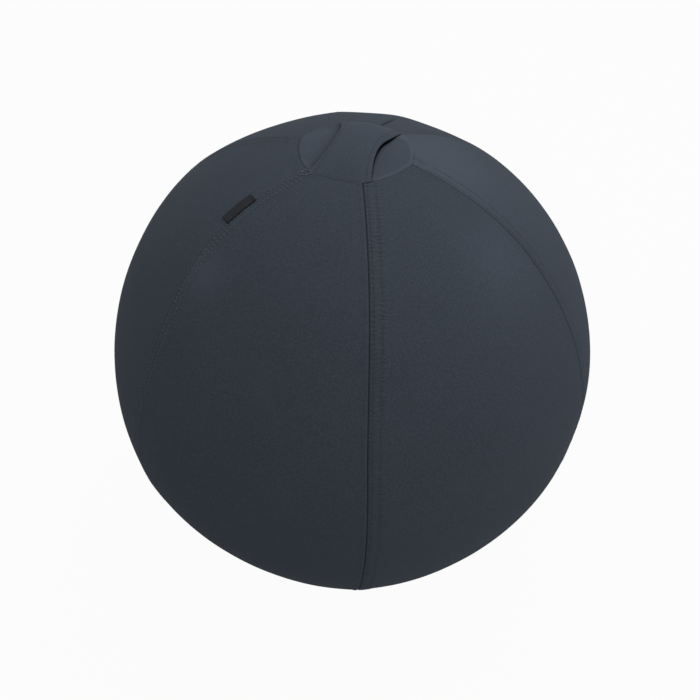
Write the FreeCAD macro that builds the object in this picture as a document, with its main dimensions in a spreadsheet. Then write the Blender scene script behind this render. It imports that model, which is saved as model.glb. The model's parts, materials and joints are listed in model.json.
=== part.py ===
import FreeCAD, Part
import os
import Sketcher
from FreeCAD import Placement, Rotation, Vector

os.makedirs("parts", exist_ok=True)
doc = FreeCAD.newDocument("SittingBall")

# Driving sizes in millimetres; zip_sweep is in degrees
SIZES = {
    "ball_diameter": 650,  # across two opposite seams
    "panel_sag": 4,  # how far a panel's middle lies inside its seams
    "fabric": 1.6,
    "ply_gap": 0.3,  # clearance between layers that lie on each other
    "contact_radius": 75,  # flat patch that the ball's own weight presses on the floor
    "crown_radius": 70,
    "crown_tape_width": 20,
    "seam_tape_width": 26,
    "tape_thickness": 1,
    "handle_end_width": 74,
    "handle_waist": 56,
    "handle_rise": 6.5,  # finger gap under the crest of the handle
    "handle_ply": 1.2,
    "webbing_width": 38,
    "webbing_thickness": 1.2,
    "label_drop": 143,  # along the seam from the top of the ball to the label
    "label_length": 41,
    "label_width": 14,
    "label_thickness": 1,
    "zip_radius": 190,
    "zip_sweep": 300,
    "zip_overrun": 6,  # length of tape past each end of the chain
    "zip_tape_width": 13,
    "zip_tape_thickness": 0.8,
    "chain_width": 2.2,
    "chain_height": 2,
    "chain_gap": 1.8,
    "stop_length": 3,
    "slot_margin": 1.5,  # between the slider's side and the panel's edge
    "slider_length": 12,
    "slider_plate": 1.2,
    "slider_keel": 0.6,
    "slider_flange": 0.6,
    "bridge_length": 6,
    "bridge_width": 6.4,
    "bridge_plate": 0.7,
    "lug_thickness": 1,
    "pin_radius": 0.7,
    "pin_overhang": 0.4,
    "running_gap": 0.08,  # round the pull's pin and the valve plug's stem
    "eye_radius": 1.5,
    "neck_length": 4.5,
    "pull_length": 28,
    "pull_width": 7,
    "pull_thickness": 1.4,
    "bladder_gap": 0.9,
    "bladder_wall": 1.2,
    "collar_radius": 16,
    "collar_flange_radius": 22,
    "collar_flange": 2.5,
    "valve_bore_radius": 5,
    "valve_sleeve_radius": 8,
    "valve_sleeve_length": 16,
    "plug_head_radius": 9,
    "plug_head": 2,
    "plug_length": 19,
    "plug_taper": 4,
    "ballast_depth": 20,
}

sheet = doc.addObject("Spreadsheet::Sheet", "Sizes")
for row, (name, value) in enumerate(SIZES.items(), start=1):
    sheet.set(f"A{row}", name)
    sheet.set(f"B{row}", str(value))
    sheet.setAlias(f"B{row}", name)
doc.recompute()

# The cover's long panels, counter-clockwise from the front seen from above, and the turn of each
PANELS = (
    "gore_front",
    "gore_front_right",
    "gore_back_right",
    "gore_back",
    "gore_back_left",
    "gore_front_left",
)
PANEL_TURN = 360 / len(PANELS)
FRONT_TURN = -90
LABEL_SEAM_TURN = FRONT_TURN - PANEL_TURN / 2
ZIP_START_TURN = 90 + PANEL_TURN / 2

# The ball: its outer radius at the seams, the base panel's radius, and the height of its centre
BALL = "(Sizes.ball_diameter / 2)"
BASE = f"({BALL} - Sizes.panel_sag * Sizes.zip_radius / {BALL})"
CENTRE = f"sqrt({BASE}^2 - Sizes.contact_radius^2)"

# A panel's level lines are arcs about an upright line that lies this far behind the ball's axis
SETBACK = (
    f"(Sizes.panel_sag * (2 * {BALL} - Sizes.panel_sag)"
    f" / (2 * {BALL} * (1 - cos({PANEL_TURN / 2})) - 2 * Sizes.panel_sag))"
)

# The zip's circle: how far it lies below the ball's centre, its slope, and the slot that it runs in
ZIP_DROP = f"sqrt({BASE}^2 - Sizes.zip_radius^2)"
ZIP_SLOPE = f"asin(Sizes.zip_radius / {BASE})"
SLIDER_HALF = "(Sizes.chain_gap / 2 + Sizes.chain_width + Sizes.ply_gap + Sizes.slider_flange)"
SLOT_HALF = f"(({SLIDER_HALF} + Sizes.slot_margin) * {ZIP_DROP} / {BASE})"
PANEL_HEM = f"(Sizes.zip_radius + {SLOT_HALF})"
BASE_RIM = f"(Sizes.zip_radius - {SLOT_HALF})"

# Depths below the base panel's outer face, in the zip's own section
TAPE_FACE = f"(Sizes.fabric + Sizes.ply_gap + Sizes.zip_tape_width^2 / (2 * {BASE}))"
TAPE_BACK = f"({TAPE_FACE} + Sizes.zip_tape_thickness)"
CHAIN_FACE = f"({TAPE_FACE} - Sizes.chain_height)"
PLATE_BACK = f"({CHAIN_FACE} - Sizes.ply_gap)"
PLATE_FACE = f"({PLATE_BACK} - Sizes.slider_plate)"
KEEL_FACE = f"({TAPE_BACK} + Sizes.ply_gap)"
KEEL_BACK = f"({KEEL_FACE} + Sizes.slider_keel)"
SLIDER_TURN = "(Sizes.slider_length / Sizes.zip_radius * 180 / pi)"
STOP_TURN = "(Sizes.stop_length / Sizes.zip_radius * 180 / pi)"
GAP_TURN = "(Sizes.ply_gap / Sizes.zip_radius * 180 / pi)"
OVERRUN_TURN = "(Sizes.zip_overrun / Sizes.zip_radius * 180 / pi)"

# The pull's pin, above the base panel's outer face
BRIDGE_FOOT = f"(0 - {PLATE_FACE} + Sizes.running_gap)"
BRIDGE_TOP = f"({BRIDGE_FOOT} + Sizes.bridge_plate)"
PIN_HEIGHT = f"({BRIDGE_TOP} + Sizes.ply_gap + Sizes.eye_radius)"
EYE_WIDTH = "(Sizes.bridge_width - 2 * Sizes.lug_thickness - 2 * Sizes.ply_gap)"

# The inner ball clears the middle of every panel and the slider's keel
BLADDER = (
    f"min({BALL} - Sizes.panel_sag - Sizes.fabric - Sizes.bladder_gap;"
    f" {BASE} - {KEEL_BACK} - Sizes.ply_gap)"
)
BLADDER_INSIDE = f"({BLADDER} - Sizes.bladder_wall)"
BLADDER_FLAT = f"({CENTRE} - Sizes.fabric - Sizes.ply_gap)"
BLADDER_FLOOR = f"({BLADDER_FLAT} - Sizes.bladder_wall)"
COLLAR_FACE = f"sqrt({BLADDER}^2 - Sizes.collar_radius^2)"
COLLAR_STEP = f"(sqrt({BLADDER_INSIDE}^2 - Sizes.collar_flange_radius^2) - Sizes.ply_gap)"
PLUG_SEAT = f"({COLLAR_FACE} - Sizes.plug_head - Sizes.ply_gap)"

# The valve's axis is the upright one, tipped over to the back until it meets the zip's circle
VALVE_HINGE = Vector(-1, 0, 0)
VALVE_TURN = f"(180 deg - {ZIP_SLOPE})"

# The handle's underside is one arc over the crown, from rim to rim
HANDLE_END = "(Sizes.crown_radius - Sizes.ply_gap)"
HANDLE_FOOT = f"(sqrt({BALL}^2 - {HANDLE_END}^2) + Sizes.ply_gap)"
HANDLE_CREST = f"({BALL} + Sizes.handle_rise)"
HANDLE_CROWN = f"({HANDLE_CREST} - {HANDLE_FOOT})"
ARCH = f"(({HANDLE_END}^2 + {HANDLE_CROWN}^2) / (2 * {HANDLE_CROWN}))"
ARCH_CENTRE = f"({HANDLE_CREST} - {ARCH})"
WAIST_DIP = "((Sizes.handle_end_width - Sizes.handle_waist) / 2)"
WAIST_ARC = f"(({HANDLE_END}^2 + {WAIST_DIP}^2) / (2 * {WAIST_DIP}))"

parts = []


def measure(rule):
    return float(sheet.evalExpression(rule))


def new_body(name, turn="0"):
    # A piece drawn about the ball's centre and turned about the ball's upright axis
    body = doc.addObject("PartDesign::Body", name)
    body.Label = name
    body.setExpression("Placement", f"placement(vector(0; 0; {CENTRE}); rotationz({turn}))")
    parts.append(body)
    return body


def origin_of(body, role):
    return next(feature for feature in body.Origin.OriginFeatures if feature.Role == role)


def new_sketch(body, role):
    sketch = body.newObject("Sketcher::SketchObject", body.Label + "_sketch")
    sketch.AttachmentSupport = (origin_of(body, role), [""])
    sketch.MapMode = "FlatFace"
    return sketch


def zip_sketch(body):
    # Section across the zip: x runs up the slope to the long panels, y runs into the ball
    sketch = new_sketch(body, "XZ_Plane")
    place = Vector(measure("Sizes.zip_radius"), -measure(ZIP_DROP), 0)
    sketch.AttachmentOffset = Placement(place, Rotation(Vector(0, 0, 1), measure(ZIP_SLOPE)))
    sketch.setExpression("AttachmentOffset.Base.x", "Sizes.zip_radius")
    sketch.setExpression("AttachmentOffset.Base.y", f"0 - {ZIP_DROP}")
    sketch.setExpression("AttachmentOffset.Rotation.Angle", ZIP_SLOPE)
    return sketch


def bind(sketch, kind, place, rule):
    index = sketch.addConstraint(Sketcher.Constraint(kind, *place, measure(rule)))
    sketch.setExpression(f"Constraints[{index}]", rule)


def hold(sketch, geometry, end, x_rule, y_rule, held):
    if "x" in held and x_rule == "0":
        sketch.addConstraint(Sketcher.Constraint("PointOnObject", geometry, end, -2))
    elif "x" in held:
        bind(sketch, "DistanceX", (-1, 1, geometry, end), x_rule)
    if "y" in held and y_rule == "0":
        sketch.addConstraint(Sketcher.Constraint("PointOnObject", geometry, end, -1))
    elif "y" in held:
        bind(sketch, "DistanceY", (-1, 1, geometry, end), y_rule)


def draw(sketch, corners, arcs=None):
    # A closed outline through the corners in order. A corner is its x, its y and which of them is held.
    # arcs gives the centre and radius of each side that is round, by the number of its first corner.
    arcs = arcs or {}
    places = [Vector(measure(x), measure(y), 0) for x, y, held in corners]
    joints = {}
    for side in range(len(corners)):
        following = (side + 1) % len(corners)
        ends = ((side, 1), (following, 2))
        if side in arcs:
            centre_x, centre_y, radius = arcs[side]
            centre = Vector(measure(centre_x), measure(centre_y), 0)
            circle = Part.Circle(centre, Vector(0, 0, 1), measure(radius))
            first = circle.parameter(places[side])
            last = circle.parameter(places[following])
            if (last - first) % circle.LastParameter > circle.LastParameter / 2:
                first, last = last, first
                ends = ((side, 2), (following, 1))
            geometry = sketch.addGeometry(Part.ArcOfCircle(circle, first, last), False)
            hold(sketch, geometry, 3, centre_x, centre_y, "xy")
            bind(sketch, "Radius", (geometry,), radius)
        else:
            geometry = sketch.addGeometry(Part.LineSegment(places[side], places[following]), False)
        for corner, end in ends:
            if corner in joints:
                sketch.addConstraint(Sketcher.Constraint("Coincident", *joints[corner], geometry, end))
            joints.setdefault(corner, (geometry, end))
    for corner, (x_rule, y_rule, held) in enumerate(corners):
        hold(sketch, *joints[corner], x_rule, y_rule, held)


def draw_box(sketch, left, right, low, high):
    draw(sketch, [(left, low, "xy"), (right, low, "xy"), (right, high, "xy"), (left, high, "xy")])


def draw_circle(sketch, x_rule, y_rule, radius):
    centre = Vector(measure(x_rule), measure(y_rule), 0)
    geometry = sketch.addGeometry(Part.Circle(centre, Vector(0, 0, 1), measure(radius)), False)
    hold(sketch, geometry, 3, x_rule, y_rule, "xy")
    bind(sketch, "Radius", (geometry,), radius)


def draw_band(sketch, outer, thickness, first_x, last_x, first_side="", last_side=""):
    # A layer between two circles about the ball's centre, cut upright at two distances from its axis
    inner = f"({outer} - {thickness})"
    corners = [
        (first_x, f"{first_side}sqrt({outer}^2 - {first_x}^2)", "x"),
        (last_x, f"{last_side}sqrt({outer}^2 - {last_x}^2)", "x"),
        (last_x, f"{last_side}sqrt({inner}^2 - {last_x}^2)", "x"),
        (first_x, f"{first_side}sqrt({inner}^2 - {first_x}^2)", "x"),
    ]
    draw(sketch, corners, {0: ("0", "0", outer), 2: ("0", "0", inner)})


def revolve(body, sketch, angle="360", axis=None, middle=False):
    turned = body.newObject("PartDesign::Revolution", body.Label + "_turned")
    turned.Profile = sketch
    turned.ReferenceAxis = axis or (origin_of(body, "Z_Axis"), [""])
    turned.Midplane = middle
    turned.Angle = measure(angle)
    turned.setExpression("Angle", angle)
    doc.recompute()
    return turned


def pad(body, sketch, length, both_ways=True):
    padded = body.newObject("PartDesign::Pad", body.Label + "_pad")
    padded.Profile = sketch
    padded.SideType = "Symmetric" if both_ways else "One side"
    padded.Length = measure(length)
    padded.setExpression("Length", length)
    doc.recompute()
    return padded


def cut(body, sketch, both_ways=True, upward=False):
    before = body.Shape.Volume
    pocket = body.newObject("PartDesign::Pocket", body.Label + "_cut")
    pocket.Profile = sketch
    pocket.Type = "ThroughAll"
    pocket.SideType = "Symmetric" if both_ways else "One side"
    pocket.Reversed = upward
    doc.recompute()
    if body.Shape.Volume >= before:
        raise RuntimeError(f"{body.Label}: a cut took nothing away")


def make_gore(name, turn):
    # One long panel: a curved layer turned about a line behind the ball's axis and trimmed at its two seams
    body = new_body(name, turn)
    profile = new_sketch(body, "XZ_Plane")
    inside = f"({BALL} - Sizes.fabric)"
    corners = [
        ("0", f"sqrt({BALL}^2 - Sizes.panel_sag^2)", "x"),
        ("0", f"0 - sqrt({BALL}^2 - Sizes.panel_sag^2)", "x"),
        ("0", f"0 - sqrt({inside}^2 - Sizes.panel_sag^2)", "x"),
        ("0", f"sqrt({inside}^2 - Sizes.panel_sag^2)", "x"),
    ]
    draw(profile, corners, {0: ("0 - Sizes.panel_sag", "0", BALL), 2: ("0 - Sizes.panel_sag", "0", inside)})
    foot = Vector(-measure(SETBACK), 0, 0)
    line = profile.addGeometry(Part.LineSegment(foot, foot + Vector(0, measure(BALL), 0)), True)
    hold(profile, line, 1, f"0 - {SETBACK}", "0", "xy")
    hold(profile, line, 2, f"0 - {SETBACK}", BALL, "xy")
    revolve(body, profile, str(PANEL_TURN), (profile, ["Axis0"]), middle=True)

    seams = new_sketch(body, "XY_Plane")
    for side in ("", "0 - "):
        corners = [
            ("0", "0", "xy"),
            (BALL, f"{side}{BALL} * tan({PANEL_TURN / 2})", "xy"),
            (f"0 - {BALL} / 2", f"{side}{BALL}", "xy"),
        ]
        draw(seams, corners)
    cut(body, seams)

    crown_edge = new_sketch(body, "XY_Plane")
    draw_circle(crown_edge, "0", "0", "Sizes.crown_radius + Sizes.ply_gap")
    cut(body, crown_edge, both_ways=False, upward=True)

    hem = new_sketch(body, "XY_Plane")
    draw_circle(hem, "0", "0", PANEL_HEM)
    cut(body, hem, both_ways=False)


def make_seam_tapes():
    # A tape behind each long seam, in the hollow between the panels' edges and the inner ball
    body = new_body("seam_tapes", f"{FRONT_TURN + PANEL_TURN / 2}")
    outer = (
        f"({BALL} - Sizes.fabric - Sizes.ply_gap - Sizes.seam_tape_width^2 / (8 * {BALL})"
        f" - 2 * Sizes.panel_sag * Sizes.seam_tape_width / ({BALL} * {PANEL_TURN} * pi / 180))"
    )
    sketch = new_sketch(body, "XZ_Plane")
    upper_end = "(Sizes.crown_radius + Sizes.crown_tape_width / 2 + 2 * Sizes.ply_gap)"
    lower_end = "(Sizes.zip_radius + Sizes.zip_tape_width + 2 * Sizes.ply_gap)"
    draw_band(sketch, outer, "Sizes.tape_thickness", upper_end, lower_end, last_side="0 - ")
    tape = pad(body, sketch, "Sizes.seam_tape_width")
    pattern = body.newObject("PartDesign::PolarPattern", "seam_tapes_pattern")
    pattern.Originals = [tape]
    pattern.Axis = (origin_of(body, "Z_Axis"), [""])
    pattern.Angle = 360
    pattern.Occurrences = len(PANELS)
    body.Tip = pattern
    doc.recompute()


def make_side_label():
    body = new_body("side_label", f"{LABEL_SEAM_TURN}")
    sketch = new_sketch(body, "XZ_Plane")
    outer = f"({BALL} + Sizes.ply_gap + Sizes.label_thickness)"
    first = f"({BALL} * sin(Sizes.label_drop / {BALL} * 180 / pi))"
    last = f"({BALL} * sin((Sizes.label_drop + Sizes.label_length) / {BALL} * 180 / pi))"
    draw_band(sketch, outer, "Sizes.label_thickness", first, last)
    pad(body, sketch, "Sizes.label_width", both_ways=False)


def make_crown():
    disc = new_body("crown_disc")
    sketch = new_sketch(disc, "XZ_Plane")
    draw_band(sketch, BALL, "Sizes.fabric", "0", "Sizes.crown_radius")
    revolve(disc, sketch)

    tape = new_body("crown_seam_tape")
    sketch = new_sketch(tape, "XZ_Plane")
    edge = "(Sizes.crown_radius + Sizes.crown_tape_width / 2)"
    outer = f"({BALL} - Sizes.fabric - Sizes.panel_sag * {edge} / {BALL} - Sizes.ply_gap)"
    inner_edge = "(Sizes.crown_radius - Sizes.crown_tape_width / 2)"
    draw_band(sketch, outer, "Sizes.tape_thickness", inner_edge, edge)
    revolve(tape, sketch)


def make_handle_ply(name, below, thickness, width, waisted):
    # One layer of the handle, with this much of the handle's thickness under it
    body = new_body(name)
    inner = f"({ARCH} + {below})"
    outer = f"({inner} + {thickness})"
    sketch = new_sketch(body, "YZ_Plane")
    corners = [
        (f"0 - {HANDLE_END}", f"{ARCH_CENTRE} + sqrt({inner}^2 - {HANDLE_END}^2)", "x"),
        (HANDLE_END, f"{ARCH_CENTRE} + sqrt({inner}^2 - {HANDLE_END}^2)", "x"),
        (HANDLE_END, f"{ARCH_CENTRE} + sqrt({outer}^2 - {HANDLE_END}^2)", "x"),
        (f"0 - {HANDLE_END}", f"{ARCH_CENTRE} + sqrt({outer}^2 - {HANDLE_END}^2)", "x"),
    ]
    draw(sketch, corners, {0: ("0", ARCH_CENTRE, inner), 2: ("0", ARCH_CENTRE, outer)})
    pad(body, sketch, width)
    ends = new_sketch(body, "XY_Plane")
    draw_circle(ends, "0", "0", HANDLE_END)
    draw_circle(ends, "0", "0", BALL)
    cut(body, ends)
    if waisted:
        sides = new_sketch(body, "XY_Plane")
        for side in ("", "0 - "):
            draw_circle(sides, f"{side}(Sizes.handle_waist / 2 + {WAIST_ARC})", "0", WAIST_ARC)
        cut(body, sides)


def make_handle():
    webbing_level = "(Sizes.handle_ply + Sizes.ply_gap)"
    strap_level = f"({webbing_level} + Sizes.webbing_thickness + Sizes.ply_gap)"
    make_handle_ply("handle_lining", "0", "Sizes.handle_ply", "Sizes.handle_end_width", True)
    make_handle_ply("handle_webbing", webbing_level, "Sizes.webbing_thickness", "Sizes.webbing_width", False)
    make_handle_ply("handle_strap", strap_level, "Sizes.handle_ply", "Sizes.handle_end_width", True)


def make_base_disc():
    # Flat where it stands on the floor, then round up to the zip, with a tongue where it stays sewn on
    body = new_body("base_disc", f"{ZIP_START_TURN}")
    sketch = new_sketch(body, "XZ_Plane")
    inside = f"({BASE} - Sizes.fabric)"
    floor = f"({CENTRE} - Sizes.fabric)"
    corners = [
        ("0", f"0 - {CENTRE}", "xy"),
        ("Sizes.contact_radius", f"0 - {CENTRE}", "y"),
        (BASE_RIM, f"0 - sqrt({BASE}^2 - {BASE_RIM}^2)", "x"),
        (BASE_RIM, f"0 - sqrt({inside}^2 - {BASE_RIM}^2)", "x"),
        (f"sqrt({inside}^2 - {floor}^2)", f"0 - {floor}", "y"),
        ("0", f"0 - {floor}", "xy"),
    ]
    draw(sketch, corners, {1: ("0", "0", BASE), 3: ("0", "0", inside)})
    revolve(body, sketch)

    tongue = new_sketch(body, "XZ_Plane")
    margin = f"({STOP_TURN} + 2 * {GAP_TURN})"
    tongue.AttachmentOffset = Placement(Vector(), Rotation(Vector(0, -1, 0), measure(margin)))
    tongue.setExpression("AttachmentOffset.Rotation.Angle", margin)
    draw_band(tongue, BASE, "Sizes.fabric", BASE_RIM, f"({PANEL_HEM} - Sizes.ply_gap)", "0 - ", "0 - ")
    revolve(body, tongue, f"360 - Sizes.zip_sweep - 2 * {margin}").Reversed = True
    doc.recompute()


def make_zip():
    tape_turn = f"{ZIP_START_TURN} - {OVERRUN_TURN}"
    chain_edge = "(Sizes.chain_gap / 2 + Sizes.chain_width)"
    for name, side in (("upper", ""), ("lower", "0 - ")):
        tape = new_body(f"zip_tape_{name}", tape_turn)
        sketch = zip_sketch(tape)
        draw_box(sketch, f"{side}Sizes.chain_gap / 2", f"{side}Sizes.zip_tape_width", TAPE_FACE, TAPE_BACK)
        revolve(tape, sketch, f"Sizes.zip_sweep + 2 * {OVERRUN_TURN}")

        chain = new_body(f"zip_chain_{name}", f"{ZIP_START_TURN}")
        sketch = zip_sketch(chain)
        draw_box(sketch, f"{side}Sizes.chain_gap / 2", f"{side}{chain_edge}", CHAIN_FACE, TAPE_FACE)
        revolve(chain, sketch, "Sizes.zip_sweep")

    stops = {
        "zip_stop_start": f"{ZIP_START_TURN} - {STOP_TURN}",
        "zip_stop_end": f"{ZIP_START_TURN} + Sizes.zip_sweep",
    }
    for name, turn in stops.items():
        stop = new_body(name, turn)
        sketch = zip_sketch(stop)
        draw_box(sketch, f"0 - {chain_edge}", chain_edge, CHAIN_FACE, TAPE_FACE)
        revolve(stop, sketch, STOP_TURN)


def make_slider():
    # Two plates and the post between the two halves of the chain, curved to run round the base
    body = new_body("zip_slider", f"{ZIP_START_TURN} + {GAP_TURN}")
    sketch = zip_sketch(body)
    post = "(Sizes.chain_gap / 2 - Sizes.ply_gap)"
    rim = f"({SLIDER_HALF} - Sizes.slider_flange)"
    flange = f"({TAPE_FACE} - Sizes.ply_gap)"
    right_side = [
        (SLIDER_HALF, PLATE_FACE),
        (SLIDER_HALF, flange),
        (rim, flange),
        (rim, PLATE_BACK),
        (post, PLATE_BACK),
        (post, KEEL_FACE),
        (rim, KEEL_FACE),
        (rim, KEEL_BACK),
    ]
    corners = [(x, y, "xy") for x, y in right_side]
    corners += [(f"0 - {x}", y, "xy") for x, y in reversed(right_side)]
    draw(sketch, corners)
    revolve(body, sketch, SLIDER_TURN)


def stand_on_slider(body):
    # x along the zip, y up the slope to the long panels, z out of the ball, at the slider's middle
    turn = f"({ZIP_START_TURN} + {GAP_TURN} + {SLIDER_TURN} / 2)"
    across = f"Sizes.zip_radius * cos({turn}); Sizes.zip_radius * sin({turn})"
    place = f"vector({across}; {CENTRE} - {ZIP_DROP})"
    tilt = f"rotationz({turn} + 90) * rotationx(180 deg - {ZIP_SLOPE})"
    body.setExpression("Placement", f"placement({place}; {tilt})")


def make_bridge():
    bridge = new_body("slider_bridge")
    sketch = new_sketch(bridge, "YZ_Plane")
    outside = "(Sizes.bridge_width / 2)"
    inside = f"({outside} - Sizes.lug_thickness)"
    lug_top = f"({PIN_HEIGHT} + Sizes.eye_radius)"
    right_side = [(outside, BRIDGE_FOOT), (outside, lug_top), (inside, lug_top), (inside, BRIDGE_TOP)]
    corners = [(x, y, "xy") for x, y in right_side]
    corners += [(f"0 - {x}", y, "xy") for x, y in reversed(right_side)]
    draw(sketch, corners)
    pad(bridge, sketch, "Sizes.bridge_length")
    holes = new_sketch(bridge, "XZ_Plane")
    draw_circle(holes, "0", PIN_HEIGHT, "Sizes.pin_radius + Sizes.running_gap")
    cut(bridge, holes)
    stand_on_slider(bridge)

    pin = new_body("pull_pin")
    sketch = new_sketch(pin, "XZ_Plane")
    draw_circle(sketch, "0", PIN_HEIGHT, "Sizes.pin_radius")
    pad(pin, sketch, "Sizes.bridge_width + 2 * Sizes.pin_overhang")
    stand_on_slider(pin)


def make_pull():
    # An eye on the pin, a neck between the lugs and a wider tab with a round end
    body = new_body("zip_pull")
    eye = new_sketch(body, "XZ_Plane")
    draw_circle(eye, "0", PIN_HEIGHT, "Sizes.eye_radius")
    pad(body, eye, EYE_WIDTH)
    tab = new_sketch(body, "YZ_Plane")
    neck = f"({EYE_WIDTH} / 2)"
    half = "(Sizes.pull_width / 2)"
    shoulder = f"({PIN_HEIGHT} + Sizes.neck_length)"
    end_centre = f"({PIN_HEIGHT} + Sizes.pull_length - Sizes.pull_width)"
    tip = f"({end_centre} + sqrt(Sizes.pull_width^2 - {half}^2))"
    corners = [
        (f"0 - {neck}", PIN_HEIGHT, "xy"),
        (neck, PIN_HEIGHT, "xy"),
        (neck, shoulder, "xy"),
        (half, shoulder, "xy"),
        (half, tip, "x"),
        (f"0 - {half}", tip, "x"),
        (f"0 - {half}", shoulder, "xy"),
        (f"0 - {neck}", shoulder, "xy"),
    ]
    draw(tab, corners, {4: ("0", end_centre, "Sizes.pull_width")})
    pad(body, tab, "Sizes.pull_thickness")
    bore = new_sketch(body, "XZ_Plane")
    draw_circle(bore, "0", PIN_HEIGHT, "Sizes.pin_radius + Sizes.running_gap")
    cut(body, bore)
    stand_on_slider(body)


def make_bladder():
    body = new_body("bladder")
    sketch = new_sketch(body, "XZ_Plane")
    corners = [
        ("0", BLADDER, "x"),
        (f"sqrt({BLADDER}^2 - {BLADDER_FLAT}^2)", f"0 - {BLADDER_FLAT}", "y"),
        ("0", f"0 - {BLADDER_FLAT}", "xy"),
        ("0", f"0 - {BLADDER_FLOOR}", "xy"),
        (f"sqrt({BLADDER_INSIDE}^2 - {BLADDER_FLOOR}^2)", f"0 - {BLADDER_FLOOR}", "y"),
        ("0", BLADDER_INSIDE, "x"),
    ]
    draw(sketch, corners, {0: ("0", "0", BLADDER), 4: ("0", "0", BLADDER_INSIDE)})
    revolve(body, sketch)
    port = new_sketch(body, "XY_Plane")
    port.AttachmentOffset = Placement(Vector(), Rotation(VALVE_HINGE, measure(VALVE_TURN)))
    port.setExpression("AttachmentOffset.Rotation.Angle", VALVE_TURN)
    draw_circle(port, "0", "0", "Sizes.collar_radius + Sizes.running_gap")
    cut(body, port, both_ways=False, upward=True)


def face_valve(body):
    body.setExpression("Placement", f"placement(vector(0; 0; {CENTRE}); rotationx(0 deg - {VALVE_TURN}))")


def make_valve():
    # Turned pieces on the valve's own axis, from the ball's centre to the middle of the base panel's tongue
    collar = new_body("valve_collar")
    sketch = new_sketch(collar, "XZ_Plane")
    recess = "(Sizes.plug_head_radius + Sizes.ply_gap)"
    flange_back = f"({COLLAR_STEP} - Sizes.collar_flange)"
    sleeve_end = f"({COLLAR_FACE} - Sizes.valve_sleeve_length)"
    outline = [
        ("Sizes.valve_bore_radius", sleeve_end),
        ("Sizes.valve_sleeve_radius", sleeve_end),
        ("Sizes.valve_sleeve_radius", flange_back),
        ("Sizes.collar_flange_radius", flange_back),
        ("Sizes.collar_flange_radius", COLLAR_STEP),
        ("Sizes.collar_radius", COLLAR_STEP),
        ("Sizes.collar_radius", COLLAR_FACE),
        (recess, COLLAR_FACE),
        (recess, PLUG_SEAT),
        ("Sizes.valve_bore_radius", PLUG_SEAT),
    ]
    draw(sketch, [(x, y, "xy") for x, y in outline])
    revolve(collar, sketch)
    face_valve(collar)

    plug = new_body("valve_plug")
    sketch = new_sketch(plug, "XZ_Plane")
    stem = "(Sizes.valve_bore_radius - Sizes.running_gap)"
    tip = f"({PLUG_SEAT} - Sizes.plug_length)"
    outline = [
        ("0", tip),
        (f"{stem} - Sizes.plug_taper / 4", tip),
        (stem, f"{tip} + Sizes.plug_taper"),
        (stem, PLUG_SEAT),
        ("Sizes.plug_head_radius", PLUG_SEAT),
        ("Sizes.plug_head_radius", f"{PLUG_SEAT} + Sizes.plug_head"),
        ("0", f"{PLUG_SEAT} + Sizes.plug_head"),
    ]
    draw(sketch, [(x, y, "xy") for x, y in outline])
    revolve(plug, sketch)
    face_valve(plug)


def make_ballast():
    # Loose fill that has settled on the inner ball's floor, with a level top
    body = new_body("ballast")
    sketch = new_sketch(body, "XZ_Plane")
    outer = f"({BLADDER_INSIDE} - Sizes.ply_gap)"
    floor = f"({BLADDER_FLOOR} - Sizes.ply_gap)"
    level = f"({floor} - Sizes.ballast_depth)"
    corners = [
        ("0", f"0 - {floor}", "xy"),
        (f"sqrt({outer}^2 - {floor}^2)", f"0 - {floor}", "y"),
        (f"sqrt({outer}^2 - {level}^2)", f"0 - {level}", "y"),
        ("0", f"0 - {level}", "xy"),
    ]
    draw(sketch, corners, {1: ("0", "0", outer)})
    revolve(body, sketch)


for number, panel in enumerate(PANELS):
    make_gore(panel, f"{FRONT_TURN + number * PANEL_TURN}")
make_seam_tapes()
make_side_label()
make_crown()
make_handle()
make_base_disc()
make_zip()
make_slider()
make_bridge()
make_pull()
make_bladder()
make_valve()
make_ballast()
doc.recompute()

for item in doc.Objects:
    if "Invalid" in item.State or "Error" in item.State:
        raise RuntimeError(f"{item.Label} is {item.State}")
for part in parts:
    if part.Shape.isNull() or not part.Shape.isValid():
        raise RuntimeError(f"{part.Label} has no valid shape")

for part in parts:
    part.Shape.exportStep(f"parts/{part.Label}.step")
    box = part.Shape.BoundBox
    low = f"({box.XMin:.1f}, {box.YMin:.1f}, {box.ZMin:.1f})"
    high = f"({box.XMax:.1f}, {box.YMax:.1f}, {box.ZMax:.1f})"
    print(f"{part.Label}: {len(part.Shape.Solids)} solid, {part.Shape.Volume:.0f} mm3, {low} to {high}")
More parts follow.
